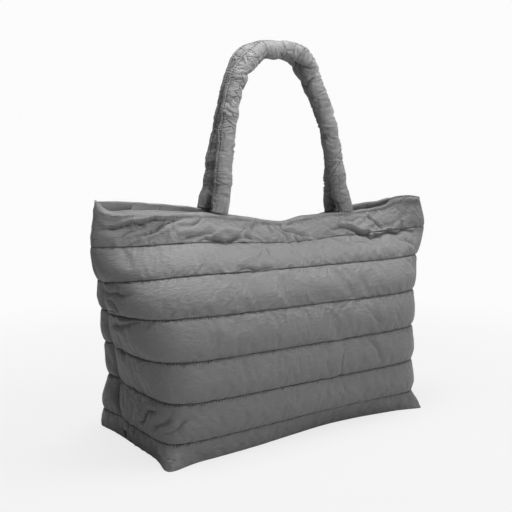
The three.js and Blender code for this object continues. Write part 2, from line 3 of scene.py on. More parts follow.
import bpy
import numpy as np
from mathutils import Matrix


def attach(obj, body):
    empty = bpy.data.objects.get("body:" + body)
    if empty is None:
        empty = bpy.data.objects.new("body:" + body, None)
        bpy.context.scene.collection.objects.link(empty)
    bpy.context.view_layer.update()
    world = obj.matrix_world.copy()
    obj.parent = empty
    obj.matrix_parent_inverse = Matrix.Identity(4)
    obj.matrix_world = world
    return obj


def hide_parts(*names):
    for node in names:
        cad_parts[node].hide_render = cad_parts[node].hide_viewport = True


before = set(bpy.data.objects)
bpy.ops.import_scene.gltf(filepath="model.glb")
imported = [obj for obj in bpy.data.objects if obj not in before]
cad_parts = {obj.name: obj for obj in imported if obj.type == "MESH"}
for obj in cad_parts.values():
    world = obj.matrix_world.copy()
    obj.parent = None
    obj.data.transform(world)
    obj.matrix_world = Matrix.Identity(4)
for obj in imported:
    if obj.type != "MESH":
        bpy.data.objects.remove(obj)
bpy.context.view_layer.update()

# Sizes of the bag in millimetres, and shares of them. They are the part's own
HEIGHT = 350.0
RIM_WIDTH = 596.0
BASE_LENGTH = 476.0
BASE_DEPTH = 224.0
RIM_OPENING = 50.0
RIM_SAG = 36.0
SEAM_WALL = 3.0
PUFF = 5.5
INNER_PUFF = 3.0
HEM_WALL = 8.0
EAR_LENGTH = 19.0
EAR_WIDTH = 26.0
BASE_CROWN = 7.0
HANDLE_SPAN = 246.0
HANDLE_RISE = 251.0
HANDLE_DIAMETER = 27.0
HANDLE_LEAN = 3.0
HANDLE_FOOT_THICKNESS = 12.0
HANDLE_FOOT_LENGTH = 30.0
END_TUCK = 7.0
END_TUCK_REACH = 30.0
FACING_DEPTH = 42.0
FACING_THICKNESS = 1.5
FACING_END = 0.09
CLEARANCE = 0.3
END_FLARE = (RIM_WIDTH - BASE_LENGTH) / 2
HANDLE_CENTRE = 0.11
SAG_STARTS = 0.6
EAR_ENDS = 0.09
HEM_STARTS = 0.93
PUFF_FADE = 0.05
DROP_ENDS = 0.3
EAR_SHARE = {"front": 1.0, "back": 0.4}

# Values of this scene alone. SHIFT leads from the part's own origin to the frame's
SHIFT = np.array([-20.700, 2.2717, 0.0])
OUTWARD = {"front": -1.0, "back": 1.0}
PANEL_SEED = {"front": 5, "back": 29}
NOISE_BAND = 0.45
LOOP_STEPS = 1200
SLIDE_STEPS = 60
COLUMN_BUNCHING = 0.4
ROW_BUNCHING = 0.7
# Share of the panel over which folds run out towards a side seam, and the side seam's depth
FOLD_FADE = 0.06
SEAM_VALLEY = 5.0
# Shares up the wall: the band under the rim, the foot of the hem and its stitch line
TOP_BAND = 0.8
HEM_ROLL = 0.955
HEM_STITCH = 0.962
# The rim's roll at the left end runs out at this share across, and the band's creases slant
ROLL_ENDS = 0.2
CREASE_SLANT = math.radians(24)
# Distance between needle holes, the stitch line's shade above it and its points below it
STITCH = 3.5
SEAM_ABOVE = 1.0
SEAM_BELOW = 3.0
# The base is quilted across, and the facings are joined from pieces at these shares
BASE_CHANNEL = 60.0
BASE_CHANNEL_SHIFT = 20.0
FACING_JOINS = (.17, .235, .83)
# The farthest that the cloth solver may carry a point
CLOTH_CAP = 6.0
CLOTH_FRAMES = 22

# Cross sections on the quilting seams, floor to rim
SECTION_KEYS = ("path", "height", "left", "right", "front", "back", "leftSeam", "rightSeam",
                "flat", "full", "drop", "puff", "slide", "tuck")
SECTIONS = np.array([
    (0, 0, -.07, -.12, -.02, .07, .11, .06, 26, 20, 0, .4, 0, .1),
    (.075, .086, -.02, -.08, -.046, -.02, .08, .05, 14, 10, 0, .95, .1, .5),
    (.215, .237, -.08, -.04, -.09, -.046, .054, .03, 9, 7, 0, 1, .22, 1),
    (.355, .397, .13, .13, -.08, 0, .036, .01, 7, 5, .004, 1, .2, 1),
    (.5, .56, .38, .44, 0, .138, .022, -.02, 5.5, 3.6, .016, 1, .15, .9),
    (.65, .714, .63, 1.04, .276, .39, .018, -.07, 4.2, 2.4, .034, .95, .03, .4),
    (.8, .846, .86, 1.55, .71, .69, .013, -.13, 3, 1.7, .022, .9, 0, 0),
    (1, 1, .77, 1.23, 1.01, .99, .009, -.16, 2.4, 1.2, 0, 0, 0, 0),
], dtype=float)
SEAMS = SECTIONS[:, 0]

# Local hang of the hem, which runs out at HEM_HANG_STARTS: across, front, back
HEM_HANGS = np.array([
    (0, -.04, 0), (.035, .26, 0), (.09, .07, 0), (.135, .04, 0), (.25, .12, 0), (.33, .03, 0),
    (.41, -.13, 0), (.5, -.06, 0), (.565, -.16, 0), (.665, .15, 0), (.765, .08, 0),
    (.82, .16, 0), (.865, .1, .02), (.9, -.17, -.05), (.95, -.13, -.05), (1, .04, .04),
], dtype=float)
HEM_HANG_STARTS = 0.87

# Hang of the rim: across, front, back
SAGS = np.array([
    (0, 0, 0), (.12, .39, .14), (.25, .42, .34), (.34, .68, .6), (.42, .98, 1), (.5, 1.08, 1.4),
    (.58, .92, 1.3), (.66, .56, .9), (.74, .55, .6), (.82, .36, .36), (.93, .11, .14), (1, 0, 0),
], dtype=float)

# Folds: points (across, up), half width and depth in mm, and lean, which is how far the wall
# above the fold bulges over it (1) or the wall below it does (-1)
FRONT_FOLDS = [
    ([(.005, .911), (.022, .889), (.052, .896), (.09, .918), (.13, .936), (.19, .957)],
     3.6, 9.0, .8),
    ([(.098, .839), (.132, .875), (.162, .911), (.2, .946)], 5.0, 5.0, -.3),
    ([(.055, .829), (.075, .857), (.102, .886)], 5.0, 2.5, 0),
    ([(.185, .875), (.218, .904), (.255, .939), (.265, .968)], 4.5, 3.0, 0),
    ([(.198, .811), (.23, .832), (.265, .85), (.3, .85)], 5.0, 3.6, .4),
    ([(.245, .800), (.26, .807), (.308, .814), (.338, .832), (.362, .829)], 6.0, 7.0, .6),
    ([(.348, .846), (.378, .929)], 4.5, 2.8, 0),
    ([(.36, .85), (.39, .807)], 4.5, 3.0, 0),
    ([(.405, .985), (.395, .92), (.388, .839)], 4.5, 3.0, 0),
    ([(.448, .98), (.445, .92), (.442, .85)], 4.5, 2.4, 0),
    ([(.46, .943), (.48, .886), (.488, .771)], 5.0, 3.4, 0),
    ([(.49, .979), (.495, .886), (.522, .879), (.55, .854), (.572, .814)], 6.5, 4.4, .3),
    ([(.505, .854), (.522, .764)], 4.0, 2.4, 0),
    ([(.552, .807), (.56, .757)], 4.0, 2.0, 0),
    ([(.61, .918), (.638, .868), (.67, .843), (.708, .829), (.742, .8), (.758, .765), (.8, .775),
      (.87, .789), (.945, .786)], 5.0, 8.0, .9),
    ([(.64, .893), (.71, .893), (.775, .911)], 5.0, 3.0, .5),
    ([(.78, .929), (.79, .87), (.802, .807)], 5.0, 3.0, 0),
    ([(.892, .861), (.882, .786)], 4.5, 2.6, 0),
    ([(.41, .786), (.385, .689)], 4.5, 1.8, 0),
    ([(.41, .775), (.418, .704)], 4.5, 1.8, 0),
    ([(.682, .768), (.75, .711)], 4.5, 2.6, 0),
    ([(.622, .761), (.678, .729)], 4.5, 2.4, 0),
    ([(.838, .754), (.925, .696)], 5.0, 3.0, 0),
    ([(.322, .65), (.392, .664), (.428, .654)], 4.0, 2.2, .4),
    ([(.01, .63), (.06, .605), (.11, .585)], 3.6, 4.0, .3),
    ([(.05, .575), (.105, .529)], 4.0, 3.2, 0),
    ([(.004, .529), (.05, .516), (.1, .507), (.165, .499)], 3.6, 4.2, .5),
    ([(.05, .45), (.1, .471), (.15, .488)], 3.6, 3.2, .3),
    ([(.058, .393), (.056, .343), (.09, .336)], 4.5, 4.0, 0),
    ([(.095, .105), (.14, .132), (.195, .19)], 3.4, 3.8, .4),
    ([(.034, .035), (.04, .085)], 3.0, 3.2, 0),
    ([(.06, .035), (.068, .08)], 3.0, 3.2, 0),
    ([(.156, .111), (.207, .154), (.232, .179)], 4.0, 3.2, 0),
    ([(.188, .1), (.234, .15), (.263, .175)], 4.0, 2.6, 0),
    ([(.666, .475), (.705, .429), (.738, .379)], 6.0, 1.8, 0),
    ([(.675, .364), (.71, .286), (.721, .236)], 6.0, 2.0, 0),
    ([(.605, .361), (.619, .22), (.626, .082)], 7.0, 2.0, 0),
]
BACK_FOLDS = [
    ([(.12, .83), (.17, .88), (.22, .93)], 5.5, 5.0, 0),
    ([(.24, .82), (.31, .815), (.38, .83)], 5.5, 6.0, .6),
    ([(.47, .96), (.485, .9), (.49, .83)], 5.0, 4.0, 0),
    ([(.6, .9), (.65, .85), (.72, .82)], 6.0, 6.0, .5),
    ([(.86, .82), (.95, .8)], 5.0, 4.0, .5),
    ([(.36, .34), (.365, .23), (.37, .12)], 7.0, 2.0, 0),
    ([(.53, .95), (.56, .88)], 4.5, 3.0, 0),
    ([(.3, .93), (.33, .86)], 4.5, 2.6, 0),
    ([(.76, .93), (.8, .84)], 5.0, 3.0, 0),
    ([(.04, .9), (.12, .93)], 4.5, 4.0, .6),
    ([(.9, .9), (.97, .92)], 4.5, 3.4, .6),
    ([(.2, .6), (.27, .54)], 5.0, 2.0, 0),
    ([(.7, .47), (.74, .39)], 6.0, 2.0, 0),
    ([(.93, .62), (.99, .6)], 5.0, 3.4, 0),
    ([(.82, .12), (.87, .17)], 4.0, 3.0, 0),
]
# Wide dents: across, up, reach across, reach up (shares) and depth in mm
FRONT_DENTS = [(.59, 0, .17, .07, 20.0)]
BACK_DENTS = [(.45, 0, .2, .07, 8.0)]
FOLDS = {"front": FRONT_FOLDS, "back": BACK_FOLDS}
DENTS = {"front": FRONT_DENTS, "back": BACK_DENTS}

FRONT_HANDLE = [(-.5, 0), (-.478, .2), (-.45, .43), (-.415, .638), (-.351, .815), (-.222, .95),
                (-.07, .992), (.085, .985), (.165, .92), (.225, .8), (.309, .629), (.36, .44),
                (.425, .2), (.49, 0)]
BACK_HANDLE = [(-.515, 0), (-.47, .13), (-.435, .3), (-.4, .45), (-.36, .62), (-.32, .78),
               (-.25, .92), (-.13, .985), (.02, 1.008), (.13, .995), (.215, .925), (.29, .825),
               (.375, .7), (.45, .54), (.49, .38), (.5, .19), (.5, 0)]


# Curves and noise

def smooth_curve(xs, ys, x):
    """Monotone cubic through the points, for an array of x."""
    xs, ys, x = np.asarray(xs, float), np.asarray(ys, float), np.asarray(x, float)
    rise = np.diff(ys) / np.diff(xs)
    slope = np.empty_like(ys)
    slope[0], slope[-1] = rise[0], rise[-1]
    product = rise[:-1] * rise[1:]
    total = np.where(rise[:-1] + rise[1:] == 0, 1, rise[:-1] + rise[1:])
    slope[1:-1] = np.where(product <= 0, 0, 2 * product / total)
    i = np.clip(np.searchsorted(xs, x, side="left") - 1, 0, len(xs) - 2)
    step = xs[i + 1] - xs[i]
    t = (x - xs[i]) / step
    blend = t * t * (3 - 2 * t)
    swing = t * (1 - t) * step
    return ys[i] + (ys[i + 1] - ys[i]) * blend + swing * ((1 - t) * slope[i] - t * slope[i + 1])


def section(key, path):
    return smooth_curve(SEAMS, SECTIONS[:, SECTION_KEYS.index(key)], path)


def lerp(a, b, t):
    return a + (b - a) * t


def bell(x, width):
    return np.exp(-(x / width) ** 2)


def climb(x, start, reach):
    """0 before start, 1 from start + reach on. A reach below 0 falls instead."""
    return np.clip((x - start) / reach, 0, 1)


class Noise:
    """A smooth random field over a plane in mm, with one wavelength each way and unit spread."""

    def __init__(self, seed, wave_u, wave_v, size=(760, 460)):
        self.nu, self.nv = int(size[0]), int(size[1])
        white = np.random.default_rng(seed).standard_normal((self.nv, self.nu))
        ku = np.fft.rfftfreq(self.nu)[None, :] * wave_u
        kv = np.fft.fftfreq(self.nv)[:, None] * wave_v
        ring = bell(np.hypot(ku, kv) - 1, NOISE_BAND)
        field = np.fft.irfft2(np.fft.rfft2(white) * ring, s=white.shape)
        self.field = field / field.std()

    def __call__(self, u, v):
        x, y = np.mod(u, self.nu), np.mod(v, self.nv)
        i, j = np.floor(x).astype(int) % self.nu, np.floor(y).astype(int) % self.nv
        fx, fy = x - np.floor(x), y - np.floor(y)
        i1, j1 = (i + 1) % self.nu, (j + 1) % self.nv
        f = self.field
        return (f[j, i] * (1 - fx) + f[j, i1] * fx) * (1 - fy) \
            + (f[j1, i] * (1 - fx) + f[j1, i1] * fx) * fy


def ridged(value):
    """Turns a smooth field into flats with sharp creases, mean about 0."""
    return 0.8 - np.abs(value)


# The panels' stitched surface

def left_seam_depth(path):
    return (section("leftSeam", path) + section("slide", path)) * BASE_DEPTH


def half_section(side, path):
    """One half of a cross section: its points at shares along it from -1 to 1, and the share at a
    distance from the side seams' line, near the left end."""
    left = -(BASE_LENGTH / 2 + section("left", path) * END_FLARE)
    right = BASE_LENGTH / 2 + section("right", path) * END_FLARE
    outward = OUTWARD[side]
    reach = outward * lerp(BASE_DEPTH / 2, RIM_OPENING / 2, section(side, path))
    seam_l = section("leftSeam", path) * BASE_DEPTH
    seam_r = section("rightSeam", path) * BASE_DEPTH
    flat, full = section("flat", path), section("full", path)
    ear = EAR_LENGTH * EAR_SHARE[side] * max(0.0, 1 - path / EAR_ENDS) ** 1.5
    tuck = END_TUCK * section("tuck", path)

    def at(along):
        out = np.maximum(0, 1 - np.abs(along) ** flat) ** (1 / full)
        x = lerp(left, right, (along + 1) / 2)
        y = lerp(lerp(seam_l, seam_r, (along + 1) / 2), reach, out)
        near = np.exp(-((x - np.where(along < 0, left, right)) ** 2 + (y - reach) ** 2)
                      / EAR_WIDTH ** 2)
        drawn = tuck * bell(y - left_seam_depth(path), END_TUCK_REACH)
        poke = ear * near * math.sqrt(0.5)
        return x + np.where(along < 0, drawn, 0) + np.sign(along) * poke, y + outward * poke

    def along_at(distance):
        out = np.minimum(1, distance / abs(reach - seam_l))
        return -((1 - out ** full) ** (1 / flat))

    return at, along_at


def section_loop(side, path):
    """A panel's cross section from the left side seam to the right one, with its length so far."""
    slide = section("slide", path) * BASE_DEPTH
    own, own_along = half_section(side, path)
    t = np.linspace(-1, 1, LOOP_STEPS + 1)
    along = np.sign(t) * (1 - (1 - np.abs(t)) ** 8)
    if side == "front":
        back, back_along = half_section("back", path)
        before = back(back_along(slide * np.arange(SLIDE_STEPS, 0, -1) / SLIDE_STEPS))
        x, y = (np.append(a, b) for a, b in zip(before, own(along)))
    else:
        start = own_along(slide)
        x, y = own(np.append(start, along[along >= start]))
    return x, y, np.append(0, np.cumsum(np.hypot(np.diff(x), np.diff(y))))


def stitched_grid(side, across, paths):
    grid = np.empty((len(paths), len(across), 3))
    for j, path in enumerate(paths):
        x, y, length = section_loop(side, path)
        target = across * length[-1]
        grid[j, :, 0] = np.interp(target, length, x)
        grid[j, :, 1] = np.interp(target, length, y)
    column = 1 if side == "front" else 2
    pull = np.maximum(0, (paths - SAG_STARTS) / (1 - SAG_STARTS)) ** 1.6
    hem_pull = np.maximum(0, (paths - HEM_HANG_STARTS) / (1 - HEM_HANG_STARTS)) ** 1.3
    fade = np.maximum(0, 1 - across / DROP_ENDS) ** 2
    hang = smooth_curve(SAGS[:, 0], SAGS[:, column], across)[None, :] * pull[:, None] \
        + smooth_curve(HEM_HANGS[:, 0], HEM_HANGS[:, column], across)[None, :] * hem_pull[:, None]
    grid[:, :, 2] = HEIGHT * (section("height", paths)[:, None]
                              - section("drop", paths)[:, None] * fade[None, :]) - RIM_SAG * hang
    return grid


def seam_plane(across, paths, outward):
    """Depth of the plane between the two panels, with each panel's clearance from it."""
    seam = lerp(left_seam_depth(paths)[:, None], section("rightSeam", paths)[:, None] * BASE_DEPTH,
                across[None, :])
    gap = np.full(seam.shape, CLEARANCE)
    gap[:, 0] = gap[:, -1] = CLEARANCE / 2
    return seam + outward * gap


def grid_normals(side, grid):
    right = np.empty_like(grid)
    right[:, 1:-1] = grid[:, 2:] - grid[:, :-2]
    right[:, 0] = grid[:, 1] - grid[:, 0]
    right[:, -1] = grid[:, -1] - grid[:, -2]
    up = np.empty_like(grid)
    up[1:-1] = grid[2:] - grid[:-2]
    up[0] = grid[1] - grid[0]
    up[-1] = grid[-1] - grid[-2]
    normal = np.cross(right, up) * -OUTWARD[side]
    normal[:, 0] = (-1, 0, 0)
    normal[:, -1] = (1, 0, 0)
    normal[0, :, 2] = 0
    normal[-1, :, 2] = 0
    return normal / np.maximum(np.linalg.norm(normal, axis=2, keepdims=True), 1e-9)


def end_fade(across, reach):
    share = np.minimum(1, np.minimum(across, 1 - across) / reach)
    return np.sqrt(np.maximum(0, 1 - (1 - share) ** 2))


def channel_crown(paths, power):
    """Each path's channel: its puff, its rise from seam to crown (0 to 1), and the share up it."""
    index = np.clip(np.searchsorted(SEAMS, np.maximum(paths, 1e-6) - 1e-9) - 1, 0, len(SEAMS) - 2)
    share = np.clip((paths - SEAMS[index]) / (SEAMS[index + 1] - SEAMS[index]), 0, 1)
    return SECTIONS[index, SECTION_KEYS.index("puff")], (4 * share * (1 - share)) ** power, share


def polyline_distance(u, v, points):
    """Signed distance (positive above the line), and share along the line."""
    best = np.full(u.shape, 1e9)
    signed = np.zeros(u.shape)
    share_out = np.zeros(u.shape)
    lengths = [0.0]
    for a, b in zip(points[:-1], points[1:]):
        lengths.append(lengths[-1] + math.hypot(b[0] - a[0], b[1] - a[1]))
    for k, (a, b) in enumerate(zip(points[:-1], points[1:])):
        dx, dy = b[0] - a[0], b[1] - a[1]
        s = np.clip(((u - a[0]) * dx + (v - a[1]) * dy) / (dx * dx + dy * dy), 0, 1)
        px, py = u - (a[0] + s * dx), v - (a[1] + s * dy)
        d = np.hypot(px, py)
        side = np.sign(dx * py - dy * px) * (1.0 if dx >= 0 else -1.0)
        near = d < best
        best = np.where(near, d, best)
        signed = np.where(near, d * np.where(side == 0, 1, side), signed)
        share_out = np.where(near, (lengths[k] + s * (lengths[k + 1] - lengths[k])) / lengths[-1],
                             share_out)
    return signed, share_out


def near_folds(side, u, v, warp):
    """For each fold the signed distance from it, share along it, half width, depth and lean."""
    for points, width, depth, lean in FOLDS[side]:
        line = [(a * RIM_WIDTH, b * HEIGHT) for a, b in points]
        signed, share = polyline_distance(u + warp[0], v + warp[1], line)
        yield signed, share, width, depth, lean


def fold_field(side, u, v, warp):
    """Displacement of the wall by the folds, negative inwards, in mm."""
    total = np.zeros(u.shape)
    for signed, share, width, depth, lean in near_folds(side, u, v, warp):
        # the side that leans over the valley falls steeply into it, the other one gently
        distance = np.abs(signed) / width
        fade = np.clip(np.sin(np.pi * np.clip(share, 0.04, 0.96)), 0, 1) ** 0.6
        valley = np.exp(-distance / np.where(signed > 0, 0.75 - 0.5 * lean, 0.75 + 0.6 * lean))
        rise = bell(distance - 1.8, 1.2)
        upper = np.where(signed > 0, 1 + lean, 1 - lean)
        total += 1.25 * depth * fade * (0.14 * upper * rise - valley)
    return total


def side_seam_valley(side, u, v):
    """The left side seam lies in a wavy valley: its depth and the distance from it, in mm."""
    wave = 2.4 * np.sin(v / 11.0) + 1.6 * np.sin(v / 5.3 + 1)
    away = np.abs(u - (wave if side == "front" else -wave))
    band = climb(v / HEIGHT, 0.06, 0.06) * climb(v / HEIGHT, 0.68, -0.08)
    return SEAM_VALLEY * band * bell(away, 6.5), away + 5 * (1 - band)


def fold_lines(side, u, v, warp):
    """1 along the valleys of the folds, 0 away from them, and the distance to the nearest one."""
    total = np.zeros(u.shape)
    nearest = np.full(u.shape, 20.0)
    for signed, share, _, depth, _ in near_folds(side, u, v, warp):
        fade = np.clip(np.sin(np.pi * np.clip(share, 0.04, 0.96)) * 1.5, 0, 1)
        total = np.maximum(total, fade * np.clip(1.4 - np.abs(signed) / 2.0, 0, 1) * (depth > 2.3))
        nearest = np.minimum(nearest, np.abs(signed) + 3 * (1 - fade) + 3 / depth)
    return total, nearest


def dent_field(side, across, paths):
    total = np.zeros((len(paths), len(across)))
    for a, b, reach_a, reach_b, depth in DENTS[side]:
        total += depth * np.exp(-(((across[None, :] - a) / reach_a) ** 2
                                  + ((paths[:, None] - b) / reach_b) ** 2))
    return total


# Mesh making

def make_object(name, points, faces, uv=None, attributes=None, materials=(), indices=None):
    mesh = bpy.data.meshes.new(name)
    points = np.asarray(points, float)
    mesh.from_pydata((points / 1000.0).tolist(), [], faces)
    mesh.update()
    if uv is not None:
        uv = np.stack([np.ravel(way) for way in uv], axis=1)
        layer = mesh.uv_layers.new(name="cloth")
        loop_vertex = np.empty(len(mesh.loops), dtype=np.int32)
        mesh.loops.foreach_get("vertex_index", loop_vertex)
        layer.data.foreach_set("uv", (uv[loop_vertex] / 1000.0).ravel())
    for key, values in (attributes or {}).items():
        attribute = mesh.attributes.new(key, "FLOAT", "POINT")
        attribute.data.foreach_set("value", np.asarray(values, dtype=np.float32).ravel())
    for material in materials:
        mesh.materials.append(material)
    if indices is not None:
        mesh.polygons.foreach_set("material_index", np.asarray(indices, dtype=np.int32))
    mesh.polygons.foreach_set("use_smooth", np.ones(len(mesh.polygons), dtype=bool))
    mesh.update()
    obj = bpy.data.objects.new(name, mesh)
    bpy.context.scene.collection.objects.link(obj)
    return obj


def grid_faces(rows, columns, flip=False, closed=False):
    j, i = np.meshgrid(np.arange(rows - 1), np.arange(columns if closed else columns - 1),
                       indexing="ij")
    i1 = (i + 1) % columns
    a, b = j * columns + i, j * columns + i1
    c, d = (j + 1) * columns + i1, (j + 1) * columns + i
    return np.stack([a, d, c, b] if flip else [a, b, c, d], axis=-1).reshape(-1, 4).tolist()


def tube_faces(rings, around):
    """A tube's faces, closed at its ends round two points that follow those of the rings."""
    faces = grid_faces(rings, around, closed=True)
    last, end = (rings - 1) * around, rings * around
    for k in range(around):
        after = (k + 1) % around
        faces.append([end, after, k])
        faces.append([end + 1, last + k, last + after])
    return faces


# Materials

def node_material(name):
    material = bpy.data.materials.new(name)
    material.use_nodes = True
    tree = material.node_tree
    shader = tree.nodes["Principled BSDF"]
    return material, tree, shader


def add(tree, kind, links=(), **settings):
    node = tree.nodes.new(kind)
    for key, value in settings.items():
        if key.startswith("in_"):
            node.inputs[key[3:].replace("_", " ")].default_value = value
        else:
            setattr(node, key, value)
    for socket, source in links:
        tree.links.new(source, node.inputs[socket])
    return node


def math_node(tree, operation, a, b=None, clamp=False):
    node = tree.nodes.new("ShaderNodeMath")
    node.operation = operation
    node.use_clamp = clamp
    for k, value in enumerate((a, b)):
        if value is None:
            continue
        if isinstance(value, (int, float)):
            node.inputs[k].default_value = value
        else:
            tree.links.new(value, node.inputs[k])
    return node.outputs[0]


def nylon(name, light, dark, crinkle=1.0, seam_lines_and_shade=True, roughness=0.56, fold_grooves_and_shade=False,
          crease_shape=(1.0, 0.55, 1), crease_turn=38, crease_scale=34.0, crease_rare=0.53,
          crease_height=1.0):
    """Crinkled matt nylon. light and dark are the greys of its ridges and its hollows: painted
    light on the ridges and painted shade in the hollows.
    """
    material, tree, shader = node_material(name)

    def times(a, b, clamp=False):
        return math_node(tree, "MULTIPLY", a, b, clamp)

    def minus(a, b, clamp=False):
        return math_node(tree, "SUBTRACT", a, b, clamp)

    def over(a, b):
        return math_node(tree, "DIVIDE", a, b)

    def plus(first, *others, clamp=False):
        for term in others:
            first = math_node(tree, "ADD", first, term, clamp)
        return first

    def noise(vector, scale, detail, roughness=0.5, distortion=0.0):
        return add(tree, "ShaderNodeTexNoise", [("Vector", vector)], in_Scale=scale,
                   in_Detail=detail, in_Roughness=roughness, in_Distortion=distortion)

    def turned(vector, shape, degrees):
        mapping = add(tree, "ShaderNodeMapping", [("Vector", vector)])
        mapping.inputs["Scale"].default_value = shape
        mapping.inputs["Rotation"].default_value = (0, 0, math.radians(degrees))
        return mapping.outputs[0]

    def mark(key):
        return add(tree, "ShaderNodeAttribute", attribute_name=key).outputs["Fac"]

    cloth = add(tree, "ShaderNodeUVMap", uv_map="cloth").outputs[0]
    bend = noise(cloth, 45.0, 2.0)
    bent = add(tree, "ShaderNodeMixRGB", [("Color1", cloth), ("Color2", bend.outputs[1])],
               blend_type="LINEAR_LIGHT", in_Fac=0.0035).outputs[0]
    # fine crinkle: ridges 3 mm apart that run along the channel, each about a centimetre long
    fine = noise(turned(bent, (0.38, 1.0, 1), -14), 300.0, 3.0, 0.6, 0.15).outputs[0]
    small = noise(bent, 420.0, 2.0).outputs[0]
    # sharp pressed creases, only here and there
    creases = add(tree, "ShaderNodeTexVoronoi",
                  [("Vector", turned(cloth, crease_shape, crease_turn))],
                  feature="DISTANCE_TO_EDGE", in_Scale=crease_scale)
    patch = noise(cloth, 17.0, 1.0)
    here = times(minus(patch.outputs[0], crease_rare), 9.0, clamp=True)
    edge = minus(1.0, over(creases.outputs[0], 0.055), clamp=True)
    crease = times(edge, here)
    bands = [add(tree, "ShaderNodeTexWave", [("Vector", cloth)], wave_type="BANDS",
                 bands_direction=way, in_Scale=900.0, in_Distortion=0.4).outputs[1] for way in "XY"]
    height = plus(times(fine, 2.4), times(small, 0.6), times(crease, crease_height),
                  times(times(*bands), 0.05))
    # colour: a broad mottle of the cloth's own tone, with painted light on the crinkle's ridges and
    # raised creases and painted shade in its hollows and sunken creases
    mottle = noise(cloth, 14.0, 4.0, 0.6)
    tone_and_crinkle_shade = plus(times(mottle.outputs[0], 0.25), times(fine, 0.45),
                times(crease, 0.12 * crease_height), 0.15)
    ramp = add(tree, "ShaderNodeValToRGB", [("Fac", tone_and_crinkle_shade)])
    ramp.color_ramp.elements[0].color = (dark, dark, dark * 1.02, 1)
    ramp.color_ramp.elements[0].position = 0.15
    ramp.color_ramp.elements[1].color = (light, light, light * 1.01, 1)
    ramp.color_ramp.elements[1].position = 0.85
    colour = ramp.outputs[0]
    if seam_lines_and_shade:
        # the seam's dark line, partly thread and needle holes and partly painted shade in the
        # seam's valley, hangs below the stitch line in small points between the needle holes, where
        # the cloth is drawn up
        wave = math_node(tree, "SINE", times(mark("along_mm"), 2 * math.pi / STITCH))
        teeth = plus(times(wave, 0.5), 0.5)
        below = plus(times(teeth, SEAM_BELOW), 0.4)
        share = plus(times(mark("seam_side"), 0.5), 0.5, clamp=True)
        reach = plus(times(share, SEAM_ABOVE), times(below, minus(1.0, share)))
        line = minus(1.0, over(mark("seam_mm"), reach), clamp=True)
        height = minus(height, times(line, 2.6))
        shade = times(line, 0.9, clamp=True)
        if fold_grooves_and_shade:
            # a groove with painted shade along the bottoms of folds and the side seam's valley
            fold_shade = minus(1.0, over(mark("fold_mm"), 3.4), clamp=True)
            height = minus(height, times(fold_shade, 1.6))
            shade = math_node(tree, "MAXIMUM", shade, fold_shade)
        # darker: thread and needle holes, with painted shade in the seams' valleys and the bottoms
        # of folds
        shaded = add(tree, "ShaderNodeMixRGB", [("Fac", times(shade, 0.88)), ("Color1", colour)])
        shaded.inputs["Color2"].default_value = (dark * 0.2, dark * 0.2, dark * 0.2, 1)
        colour = shaded.outputs[0]
    tree.links.new(colour, shader.inputs["Base Color"])
    tree.links.new(plus(times(fine, 0.16), roughness - 0.08), shader.inputs["Roughness"])
    bump = add(tree, "ShaderNodeBump", [("Height", height)])
    bump.inputs["Strength"].default_value = 1.0
    bump.inputs["Distance"].default_value = 0.0006 * crinkle
    tree.links.new(bump.outputs[0], shader.inputs["Normal"])
    shader.inputs["Sheen Weight"].default_value = 0.25
    shader.inputs["Sheen Roughness"].default_value = 0.45
    shader.inputs["Specular IOR Level"].default_value = 0.42
    return material


shell_nylon = nylon("shell_nylon", 0.2, 0.125, fold_grooves_and_shade=True)
# the handles take a lighter copy of the shell's nylon: painted light that brightens the handles
handle_nylon = nylon("handle_nylon", 0.27, 0.165, crinkle=1.5, fold_grooves_and_shade=True,
                     crease_shape=(0.45, 1.0, 1), crease_turn=22, crease_scale=75.0,
                     crease_rare=0.4, crease_height=-2.2)
lining_nylon = nylon("lining_nylon", 0.2, 0.13, crinkle=0.6, seam_lines_and_shade=False, roughness=0.62)
# the facings take a far lighter copy of the nylon: painted light in the shaded mouth of the bag
facing_nylon = nylon("facing_nylon", 0.46, 0.36, crinkle=0.7)
base_nylon = nylon("base_nylon", 0.2, 0.12, crinkle=0.9)


# Panels

COLUMNS = 360
PER_CHANNEL = 28
INNER_PER_CHANNEL = 4
HEM_ROWS = 6


def column_shares(count):
    s = np.linspace(0, 1, count + 1)
    return s + COLUMN_BUNCHING * np.sin(6 * np.pi * s) / (6 * np.pi)


def row_paths(per_channel):
    paths = [0.0]
    for low, high in zip(SEAMS[:-1], SEAMS[1:]):
        # rows bunch towards the seams, where the cloth turns fastest
        for k in range(1, per_channel + 1):
            t = k / per_channel
            t = t - ROW_BUNCHING * math.sin(2 * math.pi * t) / (2 * math.pi)
            paths.append(low + (high - low) * t)
    return np.array(paths)


